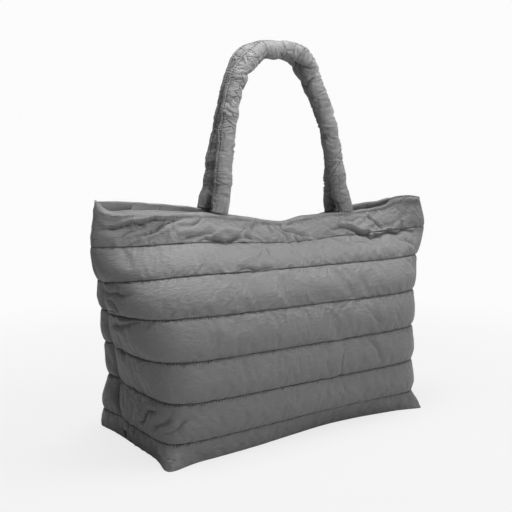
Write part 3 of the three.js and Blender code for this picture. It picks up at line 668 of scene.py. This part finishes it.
def wrinkle_field(side, u, v, paths):
    """Puckers, crumples and creases of the outer cloth, in mm."""
    seed = 11 if side == "front" else 47
    seam_v = SEAMS * HEIGHT
    from_seams = v[..., None] - seam_v[None, None, 1:-1]
    nearest = np.abs(from_seams).argmin(axis=-1)
    dv = np.take_along_axis(from_seams, nearest[..., None], -1)[..., 0]
    lean = Noise(seed, 90, 60)(u, v)
    streak = Noise(seed + 1, 8.5, 70)(u + 0.5 * lean * dv, v + 53 * nearest)
    broad_streak = Noise(seed + 2, 17, 80)(u + 0.6 * lean * dv, v + 31 * nearest)
    near = np.exp(-np.abs(dv) / 6.0)
    nearby = np.exp(-np.abs(dv) / 15.0)
    puckers = 0.3 * near * streak + 0.5 * nearby * broad_streak
    warp_u = 9 * Noise(seed + 3, 70, 70)(u, v)
    warp_v = 9 * Noise(seed + 4, 70, 70)(u, v)
    crumple = ridged(Noise(seed + 5, 46, 24)(u + warp_u, v + warp_v))
    fine_crumple = ridged(Noise(seed + 6, 30, 12)(u + warp_u, v + warp_v - 0.25 * u))
    upright = ridged(Noise(seed + 9, 26, 75)(u + warp_u + 0.45 * v, v))
    soft = Noise(seed + 7, 80, 34)(u, v)
    patchy = np.clip(0.6 + 0.4 * Noise(seed + 8, 120, 70)(u, v), 0.15, 1.4)
    away = 1 - bell(dv, 9.0)
    # the lower right has slack that falls in slanting upright folds
    slack = climb(u / RIM_WIDTH, 0.5, 0.25) * climb(v / HEIGHT, 0.62, -0.15)
    crowned = away * (0.4 * patchy * crumple + 0.3 * patchy * fine_crumple + 0.5 * soft
                      + 1.2 * slack * patchy * upright)
    top = climb(paths, TOP_BAND, 0.06)[:, None]
    return puckers * (1 - 0.3 * top) + crowned * (1 + 0.6 * top)


def upsample(field):
    """Doubles a grid's rows and columns with a cubic through its points."""
    for axis in (0, 1):
        f = np.moveaxis(field, axis, 0)
        padded = np.concatenate([2 * f[:1] - f[1:2], f, 2 * f[-1:] - f[-2:-1]])
        between = (9 * (padded[1:-2] + padded[2:-1]) - padded[:-3] - padded[3:]) / 16
        out = np.empty((2 * len(f) - 1,) + f.shape[1:])
        out[::2], out[1::2] = f, between
        field = np.moveaxis(out, 0, axis)
    return field


def simulate(side, start, pins, paths):
    """Cloth stitched down along the pinned points, a little larger than its place, and blown up
    by the fill. Returns how far each point moved, in mm."""
    rows, columns = start.shape[:2]
    obj = make_object(side + "_cloth", start.reshape(-1, 3) + SHIFT,
                      grid_faces(rows, columns, flip=side == "back"))
    group = obj.vertex_groups.new(name="stitched")
    flat = pins.ravel()
    for level in np.unique(np.round(flat, 2)):
        if level > 0:
            index = np.nonzero(np.round(flat, 2) == level)[0].tolist()
            group.add(index, float(level), "REPLACE")
    modifier = obj.modifiers.new("Cloth", "CLOTH")
    cloth = modifier.settings
    cloth.quality = 6
    cloth.mass = 0.15
    cloth.tension_stiffness = cloth.compression_stiffness = 12
    cloth.shear_stiffness = 4
    cloth.bending_stiffness = 0.02
    cloth.tension_damping = cloth.compression_damping = cloth.shear_damping = 4
    cloth.bending_damping = 0.3
    cloth.air_damping = 2
    cloth.vertex_group_mass = "stitched"
    cloth.pin_stiffness = 1
    # the cloth is cut a little large for its place, more in the band under the rim
    slack = obj.vertex_groups.new(name="slack")
    for j in range(rows):
        share = float(climb(paths[j], 0.78, 0.05))
        if share > 0:
            slack.add(list(range(j * columns, (j + 1) * columns)), share, "REPLACE")
    cloth.vertex_group_shrink = "slack"
    cloth.shrink_min = -0.018
    cloth.shrink_max = -0.02
    cloth.use_pressure = True
    cloth.uniform_pressure_force = 1.2
    cloth.effector_weights.gravity = 0
    modifier.collision_settings.use_collision = False
    modifier.collision_settings.use_self_collision = False
    modifier.point_cache.frame_start = 1
    modifier.point_cache.frame_end = CLOTH_FRAMES
    scene = bpy.context.scene
    for number in range(1, CLOTH_FRAMES + 1):
        scene.frame_set(number)
    shape = obj.evaluated_get(bpy.context.evaluated_depsgraph_get()).data
    after = np.empty(rows * columns * 3)
    shape.vertices.foreach_get("co", after)
    moved = after.reshape(rows, columns, 3) * 1000 - SHIFT - start
    scene.frame_set(1)
    mesh = obj.data
    bpy.data.objects.remove(obj)
    bpy.data.meshes.remove(mesh)
    size = np.linalg.norm(moved, axis=2, keepdims=True)
    return moved * (CLOTH_CAP * np.tanh(size / CLOTH_CAP) / np.maximum(size, 1e-6))


def cloth_coordinates(across, paths):
    u = across[None, :] * RIM_WIDTH
    v = paths[:, None] * HEIGHT
    return np.broadcast_arrays(u, v)


def outer_face(side, across, paths):
    """Outer rows of one panel, and the distance from the nearest fold or the left side seam's
    valley, where painted shade darkens the cloth.
    """
    grid = stitched_grid(side, across, paths)
    normals = grid_normals(side, grid)
    u, v = cloth_coordinates(across, paths)
    seed = PANEL_SEED[side]
    warp = (2.5 * Noise(seed, 45, 45)(u, v), 2.5 * Noise(seed + 1, 45, 45)(u, v))
    puff, crown, share = channel_crown(paths, 0.5)
    fade_puff = end_fade(across, PUFF_FADE)[None, :]
    fade_fold = end_fade(across, FOLD_FADE)[None, :]
    # the fill hangs a little low in each channel
    droop = 1 + 0.18 * np.sin(2 * np.pi * (0.5 - share)) * (crown > 0)
    lift = (puff * crown * droop)[:, None] * fade_puff
    hem = climb(paths, HEM_ROLL, 1 - HEM_ROLL)[:, None]
    hem_bulge = 2.2 * np.sin(np.pi * hem) * fade_puff
    # the rim is rolled outward at its left end
    roll = climb(across, ROLL_ENDS, -0.08)[None, :] * fade_puff
    hem_bulge = hem_bulge + 4.5 * roll * bell(paths - HEM_ROLL, 0.028)[:, None]
    stitch = -1.1 * bell(v - HEM_STITCH * HEIGHT, 2.6) * (1 - 0.7 * roll)
    valley, fold_mm = fold_lines(side, u, v, warp)
    seam_depth, from_side = side_seam_valley(side, u, v)
    rim_quiet = 1 - 0.75 * hem
    wrinkles = wrinkle_field(side, u, v, paths) * rim_quiet * fade_fold
    folds = fold_field(side, u, v, warp) * rim_quiet - dent_field(side, across, paths)
    offset = PUFF * lift + hem_bulge + (stitch + folds) * fade_fold - seam_depth
    offset = offset + 0.35 * wrinkles
    coarse = np.s_[::2, ::2]
    start = (grid + normals * offset[..., None])[coarse]
    stitched = np.append(SEAMS, HEM_STITCH)[None, None, :] * HEIGHT
    gap = np.min(np.abs(v[..., None] - stitched), axis=-1)
    pins = np.where(gap < 0.4, 1.0, 0.0)
    pins = np.maximum(pins, np.where(v > 0.958 * HEIGHT, 0.7, 0))
    pins = np.maximum(pins, 0.6 * valley)
    pins[:, :2] = pins[:, -2:] = 1.0
    moved = upsample(simulate(side, start, pins[coarse], paths[::2]))
    ends = np.minimum(1, np.minimum(across, 1 - across) / 0.03)[None, :, None]
    # the bottoms of folds stay where they are, so that they stay sharp
    held = (1 - 0.85 * valley)[..., None]
    # pressed, straight creases of the band under the rim
    top = climb(paths, TOP_BAND, 0.05)[:, None]
    along = u * math.cos(CREASE_SLANT) + v * math.sin(CREASE_SLANT)
    athwart = v * math.cos(CREASE_SLANT) - u * math.sin(CREASE_SLANT)
    sharp = top * (1.1 * ridged(Noise(seed + 12, 150, 20)(along, athwart))
                   - 0.6 * ridged(Noise(seed + 13, 90, 11)(along, athwart)))
    offset = offset + sharp * rim_quiet * fade_fold
    outer = grid + normals * offset[..., None] + moved * ends * held
    return outer, np.minimum(fold_mm, from_side + 0.4)


def inner_face(side, across, paths):
    """Inner rows of one panel, floor to rim."""
    grid = stitched_grid(side, across, paths)
    normals = grid_normals(side, grid)
    u, v = cloth_coordinates(across, paths)
    fade_puff = end_fade(across, PUFF_FADE)[None, :]
    fade_fold = end_fade(across, FOLD_FADE)[None, :]
    puff, crown, _ = channel_crown(paths, 0.6)
    rim_share = np.maximum(0, (paths - HEM_STARTS) / (1 - HEM_STARTS))[:, None]
    wall = lerp(SEAM_WALL, HEM_WALL, rim_share * fade_puff)
    first = (paths < SEAMS[1])[:, None]
    inset = wall + np.where(first, 0, INNER_PUFF * (puff * crown)[:, None] * fade_puff)
    soft = 0.8 * Noise(PANEL_SEED[side] + 2, 40, 26)(u, v)
    folds = fold_field(side, u, v, (0, 0)) * 0.6 - dent_field(side, across, paths)
    offset = (soft + folds) * fade_fold - inset - side_seam_valley(side, u, v)[0]
    return grid + normals * offset[..., None]


def hem_arcs(outer, inner):
    """Rows of the rounded hem, over the rim from the outer face to the inner one."""
    middle = (outer[-1] + inner[-1]) / 2
    half = (outer[-1] - inner[-1]) / 2
    width = np.linalg.norm(half, axis=1)[:, None]
    arcs = []
    for k in range(1, HEM_ROWS):
        a = math.pi * k / HEM_ROWS
        arcs.append(middle + half * math.cos(a) + np.array([0, 0, 0.62]) * width * math.sin(a))
    return np.array(arcs)


def panel_faces(side):
    """Outer, hem and inner rows of one panel, with cloth coordinates and seam distances."""
    across = column_shares(COLUMNS)
    paths, inner_paths = row_paths(PER_CHANNEL), row_paths(INNER_PER_CHANNEL)
    outward = OUTWARD[side]
    outer, fold_mm = outer_face(side, across, paths)
    inner = inner_face(side, across, inner_paths)
    for rows, ps in ((outer, paths), (inner, inner_paths)):
        plane = seam_plane(across, ps, outward)
        rows[:, :, 1] = outward * np.maximum(outward * rows[:, :, 1], outward * plane)
        rows[:, :, 2] = np.maximum(rows[:, :, 2], 0)
    arcs = hem_arcs(outer, inner)
    rows = np.concatenate([outer, arcs, inner[::-1]])
    u, v = cloth_coordinates(across, paths)
    inner_u, inner_v = cloth_coordinates(across, inner_paths)
    stitched = np.append(SEAMS[1:-1], HEM_STITCH)[None, None, :] * HEIGHT
    from_seams = v[..., None] - stitched
    nearest = np.abs(from_seams).argmin(axis=-1)[..., None]
    above = np.take_along_axis(from_seams, nearest, -1)[..., 0]
    arc_u = np.broadcast_to(u[0], arcs.shape[:2])
    arc_v = np.broadcast_to((HEIGHT + np.arange(1, HEM_ROWS) * 2.0)[:, None], arcs.shape[:2])
    cloth_u = np.concatenate([u, arc_u, inner_u])
    cloth_v = np.concatenate([v, arc_v, (2 * HEIGHT + 20 - inner_v[::-1])])
    # no stitch line, painted seam shade or painted fold shade shows on the hem and the inner face
    plain = np.ones((len(arcs) + len(inner_u), len(across)))
    marks = {"seam_mm": np.concatenate([np.abs(above), 9 * plain]),
             "seam_side": np.concatenate([np.clip(above / 1.5, -1, 1), 0 * plain]),
             "along_mm": cloth_u,
             "fold_mm": np.concatenate([fold_mm, 18 * plain])}
    return rows, cloth_u, cloth_v, marks, len(paths), len(inner_paths)


def close_ends(rows, columns, n_outer, n_hem, n_inner):
    """Triangles that close a panel's wall at its two side seams."""
    faces = []
    total = n_outer + n_hem + n_inner
    for column, flip in ((0, False), (columns - 1, True)):
        low, high = 0, total - 1
        while high - low > 1:
            share_low = low / (n_outer - 1)
            share_high = (total - 1 - high) / (n_inner - 1)
            if share_low <= share_high and low < n_outer + n_hem - 1 or high <= n_outer + n_hem:
                tri = [low, low + 1, high]
                low += 1
            else:
                tri = [low, high - 1, high]
                high -= 1
            tri = [t * columns + column for t in tri]
            faces.append(tri[::-1] if flip else tri)
    return faces


def make_panel(side):
    rows, cloth_u, cloth_v, marks, n_outer, n_inner = panel_faces(side)
    count = rows.shape[1]
    flip = side == "back"
    faces = grid_faces(rows.shape[0], count, flip=flip)
    outer_faces = (n_outer - 1 + HEM_ROWS) * (count - 1)
    indices = [0] * outer_faces + [1] * (len(faces) - outer_faces)
    ends = close_ends(rows, count, n_outer, HEM_ROWS - 1, n_inner)
    faces += ends
    indices += [1] * len(ends)
    obj = make_object(
        side + "_shell", rows.reshape(-1, 3) + SHIFT, faces, uv=(cloth_u, cloth_v),
        attributes=marks, materials=(shell_nylon, lining_nylon), indices=indices)
    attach(obj, "root")
    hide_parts(side + "_panel")
    return rows, n_outer, n_inner


panels = {side: make_panel(side) for side in ("front", "back")}


# Handles

def catmull(points, count):
    """Centripetal curve through the points, resampled at equal lengths."""
    p = np.asarray(points, float)
    p = np.vstack([2 * p[0] - p[1], p, 2 * p[-1] - p[-2]])
    dense = []
    for i in range(1, len(p) - 2):
        p0, p1, p2, p3 = p[i - 1:i + 3]
        d0, d1, d2 = (np.linalg.norm(b - a) ** 0.5 for a, b in ((p0, p1), (p1, p2), (p2, p3)))
        t1 = ((p1 - p0) / d0 - (p2 - p0) / (d0 + d1) + (p2 - p1) / d1) * d1
        t2 = ((p2 - p1) / d1 - (p3 - p1) / (d1 + d2) + (p3 - p2) / d2) * d1
        t = np.linspace(0, 1, 120, endpoint=i == len(p) - 3)[:, None]
        dense.append(p1 + t1 * t + (-3 * p1 + 3 * p2 - 2 * t1 - t2) * t ** 2
                     + (2 * p1 - 2 * p2 + t1 + t2) * t ** 3)
    dense = np.vstack(dense)
    length = np.concatenate([[0], np.cumsum(np.linalg.norm(np.diff(dense, axis=0), axis=1))])
    target = np.linspace(0, length[-1], count)
    out = np.stack([np.interp(target, length, dense[:, k]) for k in range(3)], axis=1)
    return out, length[-1]


def crest_at(side, x):
    """Place of the rim's crest at x: depth and height."""
    rows, n_outer, _ = panels[side]
    crest = rows[n_outer + HEM_ROWS // 2 - 1]
    return np.interp(x, crest[:, 0], crest[:, 1]), np.interp(x, crest[:, 0], crest[:, 2])


def make_handle(side, table, kinks):
    around, rings = ((72, 420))
    middle = HANDLE_CENTRE * HANDLE_SPAN
    feet = [crest_at(side, middle + a * HANDLE_SPAN) for a in (-.5, .5)]
    lean = -OUTWARD[side] * HANDLE_LEAN
    points = [(middle + a * HANDLE_SPAN,
               lerp(feet[0][0], feet[1][0], a + .5) + lean * up,
               lerp(feet[0][1], feet[1][1], a + .5) + CLEARANCE + up * HANDLE_RISE)
              for a, up in table]
    centre, length = catmull(points, rings)
    tangent = np.gradient(centre, axis=0)
    tangent /= np.linalg.norm(tangent, axis=1)[:, None]
    depthways = np.array([0, 1.0, 0])
    sideways = np.cross(depthways, tangent)
    sideways /= np.linalg.norm(sideways, axis=1)[:, None]
    s = np.linspace(0, length, rings)
    from_foot = np.minimum(s, length - s)
    opening = np.sin(np.minimum(1, from_foot / HANDLE_FOOT_LENGTH) * np.pi / 2)
    thick = lerp(HANDLE_FOOT_THICKNESS, HANDLE_DIAMETER, opening) / 2
    angle = 2 * np.pi * (np.arange(around) + 0.5) / around
    girth = np.pi * HANDLE_DIAMETER
    u = np.broadcast_to(angle[None, :] * girth / (2 * np.pi), (rings, around))
    v = np.broadcast_to(s[:, None], (rings, around))
    seed = 101 if side == "front" else 151
    size = (girth, 800)
    # the lengthwise seam runs on the loop's outer side and gathers the cloth
    from_seam = np.abs(angle - np.pi) * HANDLE_DIAMETER / 2
    from_seam = np.broadcast_to(from_seam[None, :], u.shape)
    strip = bell(from_seam, 3.0)
    tilt = 3.0 * Noise(seed, girth / 2, 60, size)(u, v)
    gather = ridged(Noise(seed + 1, girth / 2, 10.5, size)(u, v + tilt))
    fine_gather = ridged(Noise(seed + 2, girth / 3, 6.0, size)(u, v + tilt))
    bulge = Noise(seed + 3, girth, 34, size)(u, v)
    patch = np.clip(0.75 + 0.4 * Noise(seed + 4, girth, 60, size)(u, v), 0.3, 1.5)
    offset = patch * (0.9 * gather + 0.6 * fine_gather) * (1 - 0.85 * strip) + 0.75 * bulge
    offset += -0.9 * bell(from_seam - 3.6, 1.1) + 0.3 * strip
    # bends crease on the inner side, slanting round the tube
    inner_side = np.broadcast_to(np.cos(angle)[None, :], u.shape)
    # fold_mm places painted shade in the bottoms of the bends' creases
    fold_mm = np.full(u.shape, 20.0)
    for k, (place, depth, width) in enumerate(kinks):
        slant = 7 * (1 if k % 2 else -1) * np.sin(angle)[None, :]
        away = np.abs(v - place * length + slant + tilt)
        share = np.clip(inner_side + 0.35, 0, 1)
        offset -= depth * np.exp(-(away / width) ** 1.1) * share
        fold_mm = np.minimum(fold_mm, away + 5 * (1 - share) + 2.5 / depth)
    # pleats where the foot is gathered into the rim
    pleat = np.sin(u / girth * 2 * np.pi * 9 + 2 * Noise(seed + 5, girth, 80, size)(u, v))
    near_foot = bell(from_foot, 14.0)[:, None]
    offset = offset * (1 - 0.6 * near_foot) + 0.9 * pleat * near_foot
    radius_w = HANDLE_DIAMETER / 2 + offset
    radius_t = thick[:, None] + offset * opening[:, None].clip(0.5, 1)
    ring = centre[:, None, :] + sideways[:, None, :] * (radius_w * np.cos(angle))[..., None] \
        + depthways * (radius_t * np.sin(angle))[..., None]
    for k in (0, rings - 1):
        _, z = crest_at(side, ring[k, :, 0])
        ring[k, :, 2] = z + CLEARANCE
    for k in range(1, rings // 8):
        for row in (k, rings - 1 - k):
            _, z = crest_at(side, ring[row, :, 0])
            ring[row, :, 2] = np.maximum(ring[row, :, 2], z + CLEARANCE)
    # the seam's dark line along the tube, partly thread and partly painted shade in its groove
    seam_mm = np.abs(from_seam - 3.6)
    points = np.vstack([ring.reshape(-1, 3), ring[0].mean(axis=0), ring[-1].mean(axis=0)])
    extra = np.zeros(2)
    obj = make_object(
        side + "_tube", points + SHIFT, tube_faces(rings, around),
        uv=(np.append(u, extra), np.append(v, extra)),
        attributes={"seam_mm": np.append(seam_mm, extra + 9),
                    "along_mm": np.append(v, extra),
                    "fold_mm": np.append(fold_mm, extra + 20)},
        materials=(handle_nylon,))
    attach(obj, "root")
    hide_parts(side + "_handle")


# Kinks: share of the length, depth and width in mm
make_handle("front", FRONT_HANDLE, [(.17, 1.5, 4), (.3, 2.4, 4), (.355, 3.4, 4), (.43, 3.2, 4.5),
                                    (.5, 2.2, 4), (.59, 5.0, 5), (.635, 4.0, 4.5), (.8, 1.5, 4)])
make_handle("back", BACK_HANDLE, [(.2, 1.6, 4), (.33, 2.6, 4), (.4, 3.0, 4.5), (.48, 2.2, 4),
                                  (.57, 3.2, 4.5), (.64, 2.4, 4), (.77, 1.6, 4)])


# Base

def make_base():
    across = column_shares(140)
    outline = []
    for side in ("front", "back"):
        outward = OUTWARD[side]
        paths = np.array([0.0, SEAMS[1] / 2])
        grid = stitched_grid(side, across, paths)
        normals = grid_normals(side, grid)
        depth = dent_field(side, across, paths) * end_fade(across, 0.1)[None, :]
        edge = (grid - normals * (SEAM_WALL + 2.5 * CLEARANCE + depth)[..., None])[0]
        plane = seam_plane(across, paths, outward)[0]
        edge[:, 1] = outward * np.maximum(outward * edge[:, 1], outward * plane)
        edge[:, 2] = 0
        outline.append(edge if side == "front" else edge[1:-1][::-1])
    outline = np.vstack(outline)
    count = len(outline)
    centre = outline.mean(axis=0)
    shares = np.concatenate([[1, .985, .96], np.linspace(.92, .04, 30)])
    bottom = [centre + (outline - centre) * k for k in shares[::4]]
    soft = Noise(211, 60, 40)
    fine = Noise(212, 18, 14)
    top = []
    for k in shares:
        ring = centre + (outline - centre) * k
        x, y = ring[:, 0], ring[:, 1]
        # quilting lines cross the base
        phase = np.abs(((x + BASE_CHANNEL_SHIFT) / BASE_CHANNEL) % 1 - 0.5) * 2
        quilt = 1 - np.clip(1 - (0.5 - np.abs(phase - 0.5)) * 8, 0, 1) ** 2
        rise = SEAM_WALL + BASE_CROWN * (1 - k ** 4) * (0.55 + 0.45 * quilt)
        rise = rise + (0.8 * soft(x + 300, y + 150) + 0.3 * fine(x + 300, y + 150)) * (1 - k ** 6)
        ring[:, 2] = np.where(k == 1, 0.5, np.minimum(rise, SEAM_WALL + BASE_CROWN))
        top.append(ring)
    points = np.vstack(bottom[::-1] + top)
    rings = len(bottom) + len(top)
    points = np.vstack([points, [centre[0], centre[1], 0], [centre[0], centre[1], top[-1][0, 2]]])
    # the quilting lines get the seams' dark line: partly thread and partly painted shade in their
    # grooves
    place = (points[:, 0] + BASE_CHANNEL_SHIFT) % BASE_CHANNEL
    seam = np.minimum(place, BASE_CHANNEL - place)
    obj = make_object("base_pad", points + SHIFT, tube_faces(rings, count),
                      uv=(points[:, 0], points[:, 1]),
                      attributes={"seam_mm": seam, "along_mm": points[:, 1]},
                      materials=(base_nylon,))
    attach(obj, "root")
    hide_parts("base_panel")


make_base()


# Facings inside the rim

def make_facing(side):
    rows, _, n_inner = panels[side]
    inner = rows[-n_inner:][::-1]
    across = column_shares(COLUMNS)
    keep = (across >= FACING_END) & (across <= 1 - FACING_END)
    top, low = inner[-1][keep], inner[-1 - INNER_PER_CHANNEL // 2][keep]
    inward = np.cross(np.gradient(top, axis=0), top - low) * OUTWARD[side]
    inward /= np.linalg.norm(inward, axis=1)[:, None]
    down = 24
    drop = np.minimum(0.95, FACING_DEPTH / np.linalg.norm(top - low, axis=1))[:, None]
    u = across[keep] * RIM_WIDTH
    seed = 301 if side == "front" else 331
    layers = []
    for k in range(down + 1):
        share = 0.02 + 0.98 * k / down
        place = top + (low - top) * drop * share
        v = np.full(u.shape, share * FACING_DEPTH)
        wave = 0.5 * Noise(seed, 30, 30)(u, v) + 0.25 * Noise(seed + 1, 10, 16)(u, v)
        hem = 0.5 * bell(v - FACING_DEPTH + 3, 1.6) + 0.4 * bell(v, 2.5)
        joins = sum(0.7 * bell((across[keep] - a) * RIM_WIDTH, 1.2) for a in FACING_JOINS)
        layers.append(place + inward * (CLEARANCE * 1.6 + FACING_THICKNESS * 0.6
                                        + 0.35 * wave + hem - joins * 0.6)[:, None])
    front = np.array(layers)
    back = front - inward[None] * (FACING_THICKNESS * 0.6)
    sheet_rows = np.concatenate([front, back[::-1]])
    count = keep.sum()
    faces = grid_faces(sheet_rows.shape[0], count, flip=side == "front")
    vv = np.linspace(0, FACING_DEPTH, down + 1)
    # the hem's stitch line and the joins get the seams' dark line: partly thread and partly painted
    # shade
    seam = np.abs(vv - (FACING_DEPTH - 4.5))[:, None] + 0 * u[None, :]
    join_gap = np.min(np.abs(across[keep][:, None] - np.array(FACING_JOINS)[None]), axis=1)
    seam = np.minimum(seam, join_gap[None, :] * RIM_WIDTH + 0.4)
    cloth_u = np.broadcast_to(u[None, :], (2 * (down + 1), count))
    cloth_v = np.concatenate([vv, 2 * FACING_DEPTH - vv[::-1]])[:, None] + 0 * cloth_u
    obj = make_object(
        side + "_rim_band", sheet_rows.reshape(-1, 3) + SHIFT, faces, uv=(cloth_u, cloth_v),
        attributes={"seam_mm": np.concatenate([seam, seam[::-1]]), "along_mm": cloth_u},
        materials=(facing_nylon,))
    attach(obj, "root")
    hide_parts(side + "_facing")


for side in ("front", "back"):
    make_facing(side)


# Floor, light and camera

PAPER_WHITE = 0.97
FOCAL_PIXELS = 746.5
PHOTO_PIXELS = 512
SENSOR_WIDTH = 36
CAMERA_PLACE = (-0.7096, -0.9533, 0.3828)
CAMERA_TILT = 84
CAMERA_TURN = -35.1

floor_mesh = bpy.data.meshes.new("floor")
floor_mesh.from_pydata([(-6, -6, 0), (6, -6, 0), (6, 6, 0), (-6, 6, 0)], [], [(0, 1, 2, 3)])
floor = bpy.data.objects.new("floor", floor_mesh)
bpy.context.scene.collection.objects.link(floor)
floor_material, floor_tree, floor_shader = node_material("floor_white")
floor_shader.inputs["Base Color"].default_value = (0.55, 0.55, 0.55, 1)
floor_shader.inputs["Roughness"].default_value = 0.9
floor_shader.inputs["Specular IOR Level"].default_value = 0.1
# the paper sweeps up to white away from the bag
paper = add(floor_tree, "ShaderNodeEmission")
paper.inputs["Strength"].default_value = PAPER_WHITE
place = add(floor_tree, "ShaderNodeNewGeometry")
far = add(floor_tree, "ShaderNodeVectorMath", [(0, place.outputs["Position"])], operation="LENGTH")
sweep = add(floor_tree, "ShaderNodeMapRange", [("Value", far.outputs["Value"])],
            interpolation_type="SMOOTHSTEP")
for socket, value in (("From Min", 0.35), ("From Max", 1.3), ("To Min", 0.8), ("To Max", 1.0)):
    sweep.inputs[socket].default_value = value
seen_floor = add(floor_tree, "ShaderNodeLightPath")
white = math_node(floor_tree, "MULTIPLY", sweep.outputs[0], seen_floor.outputs["Is Camera Ray"])
floor_mix = add(floor_tree, "ShaderNodeMixShader", [(0, white), (1, floor_shader.outputs[0]),
                                                    (2, paper.outputs[0])])
floor_tree.links.new(floor_mix.outputs[0], floor_tree.nodes["Material Output"].inputs[0])
floor_mesh.materials.append(floor_material)

world = bpy.data.worlds.new("studio")
bpy.context.scene.world = world
world.use_nodes = True
sky = world.node_tree.nodes["Background"]
sky.inputs["Color"].default_value = (1, 1, 1, 1)
sky.inputs["Strength"].default_value = 0.11
backdrop = add(world.node_tree, "ShaderNodeBackground")
backdrop.inputs["Color"].default_value = (1, 1, 1, 1)
backdrop.inputs["Strength"].default_value = PAPER_WHITE
seen = add(world.node_tree, "ShaderNodeLightPath")
either = add(world.node_tree, "ShaderNodeMixShader",
             [(0, seen.outputs["Is Camera Ray"]), (1, sky.outputs[0]), (2, backdrop.outputs[0])])
world.node_tree.links.new(either.outputs[0], world.node_tree.nodes["World Output"].inputs[0])


def area_light(name, place, target, size, power, spread=180):
    light = bpy.data.lights.new(name, "AREA")
    light.shape = "RECTANGLE"
    light.size, light.size_y = size
    light.energy = power
    light.spread = math.radians(spread)
    obj = bpy.data.objects.new(name, light)
    bpy.context.scene.collection.objects.link(obj)
    place, target = np.array(place, float), np.array(target, float)
    way = target - place
    obj.location = place
    obj.rotation_euler = (math.acos(-way[2] / np.linalg.norm(way)), 0,
                          math.atan2(way[1], way[0]) - math.pi / 2)


area_light("key", (0.9, -0.6, 1.6), (0, 0, 0.2), (0.8, 0.8), 14)
area_light("top", (0.0, 0.13, 2.4), (0, 0, 0.2), (1.55, 1.05), 47)
area_light("low", (-0.3, -1.5, 0.35), (0, 0, 0.1), (0.8, 0.4), 5.0)
area_light("high", (-0.1, -0.9, 1.15), (-0.06, 0, 0.53), (0.4, 0.4), 0.7, spread=38)

camera_data = bpy.data.cameras.new("camera")
camera_data.sensor_width = SENSOR_WIDTH
camera_data.lens = FOCAL_PIXELS * SENSOR_WIDTH / PHOTO_PIXELS
camera = bpy.data.objects.new("camera", camera_data)
camera.location = CAMERA_PLACE
camera.rotation_euler = (math.radians(CAMERA_TILT), 0, math.radians(CAMERA_TURN))
bpy.context.scene.collection.objects.link(camera)
bpy.context.scene.camera = camera
bpy.context.scene.view_settings.view_transform = "Standard"
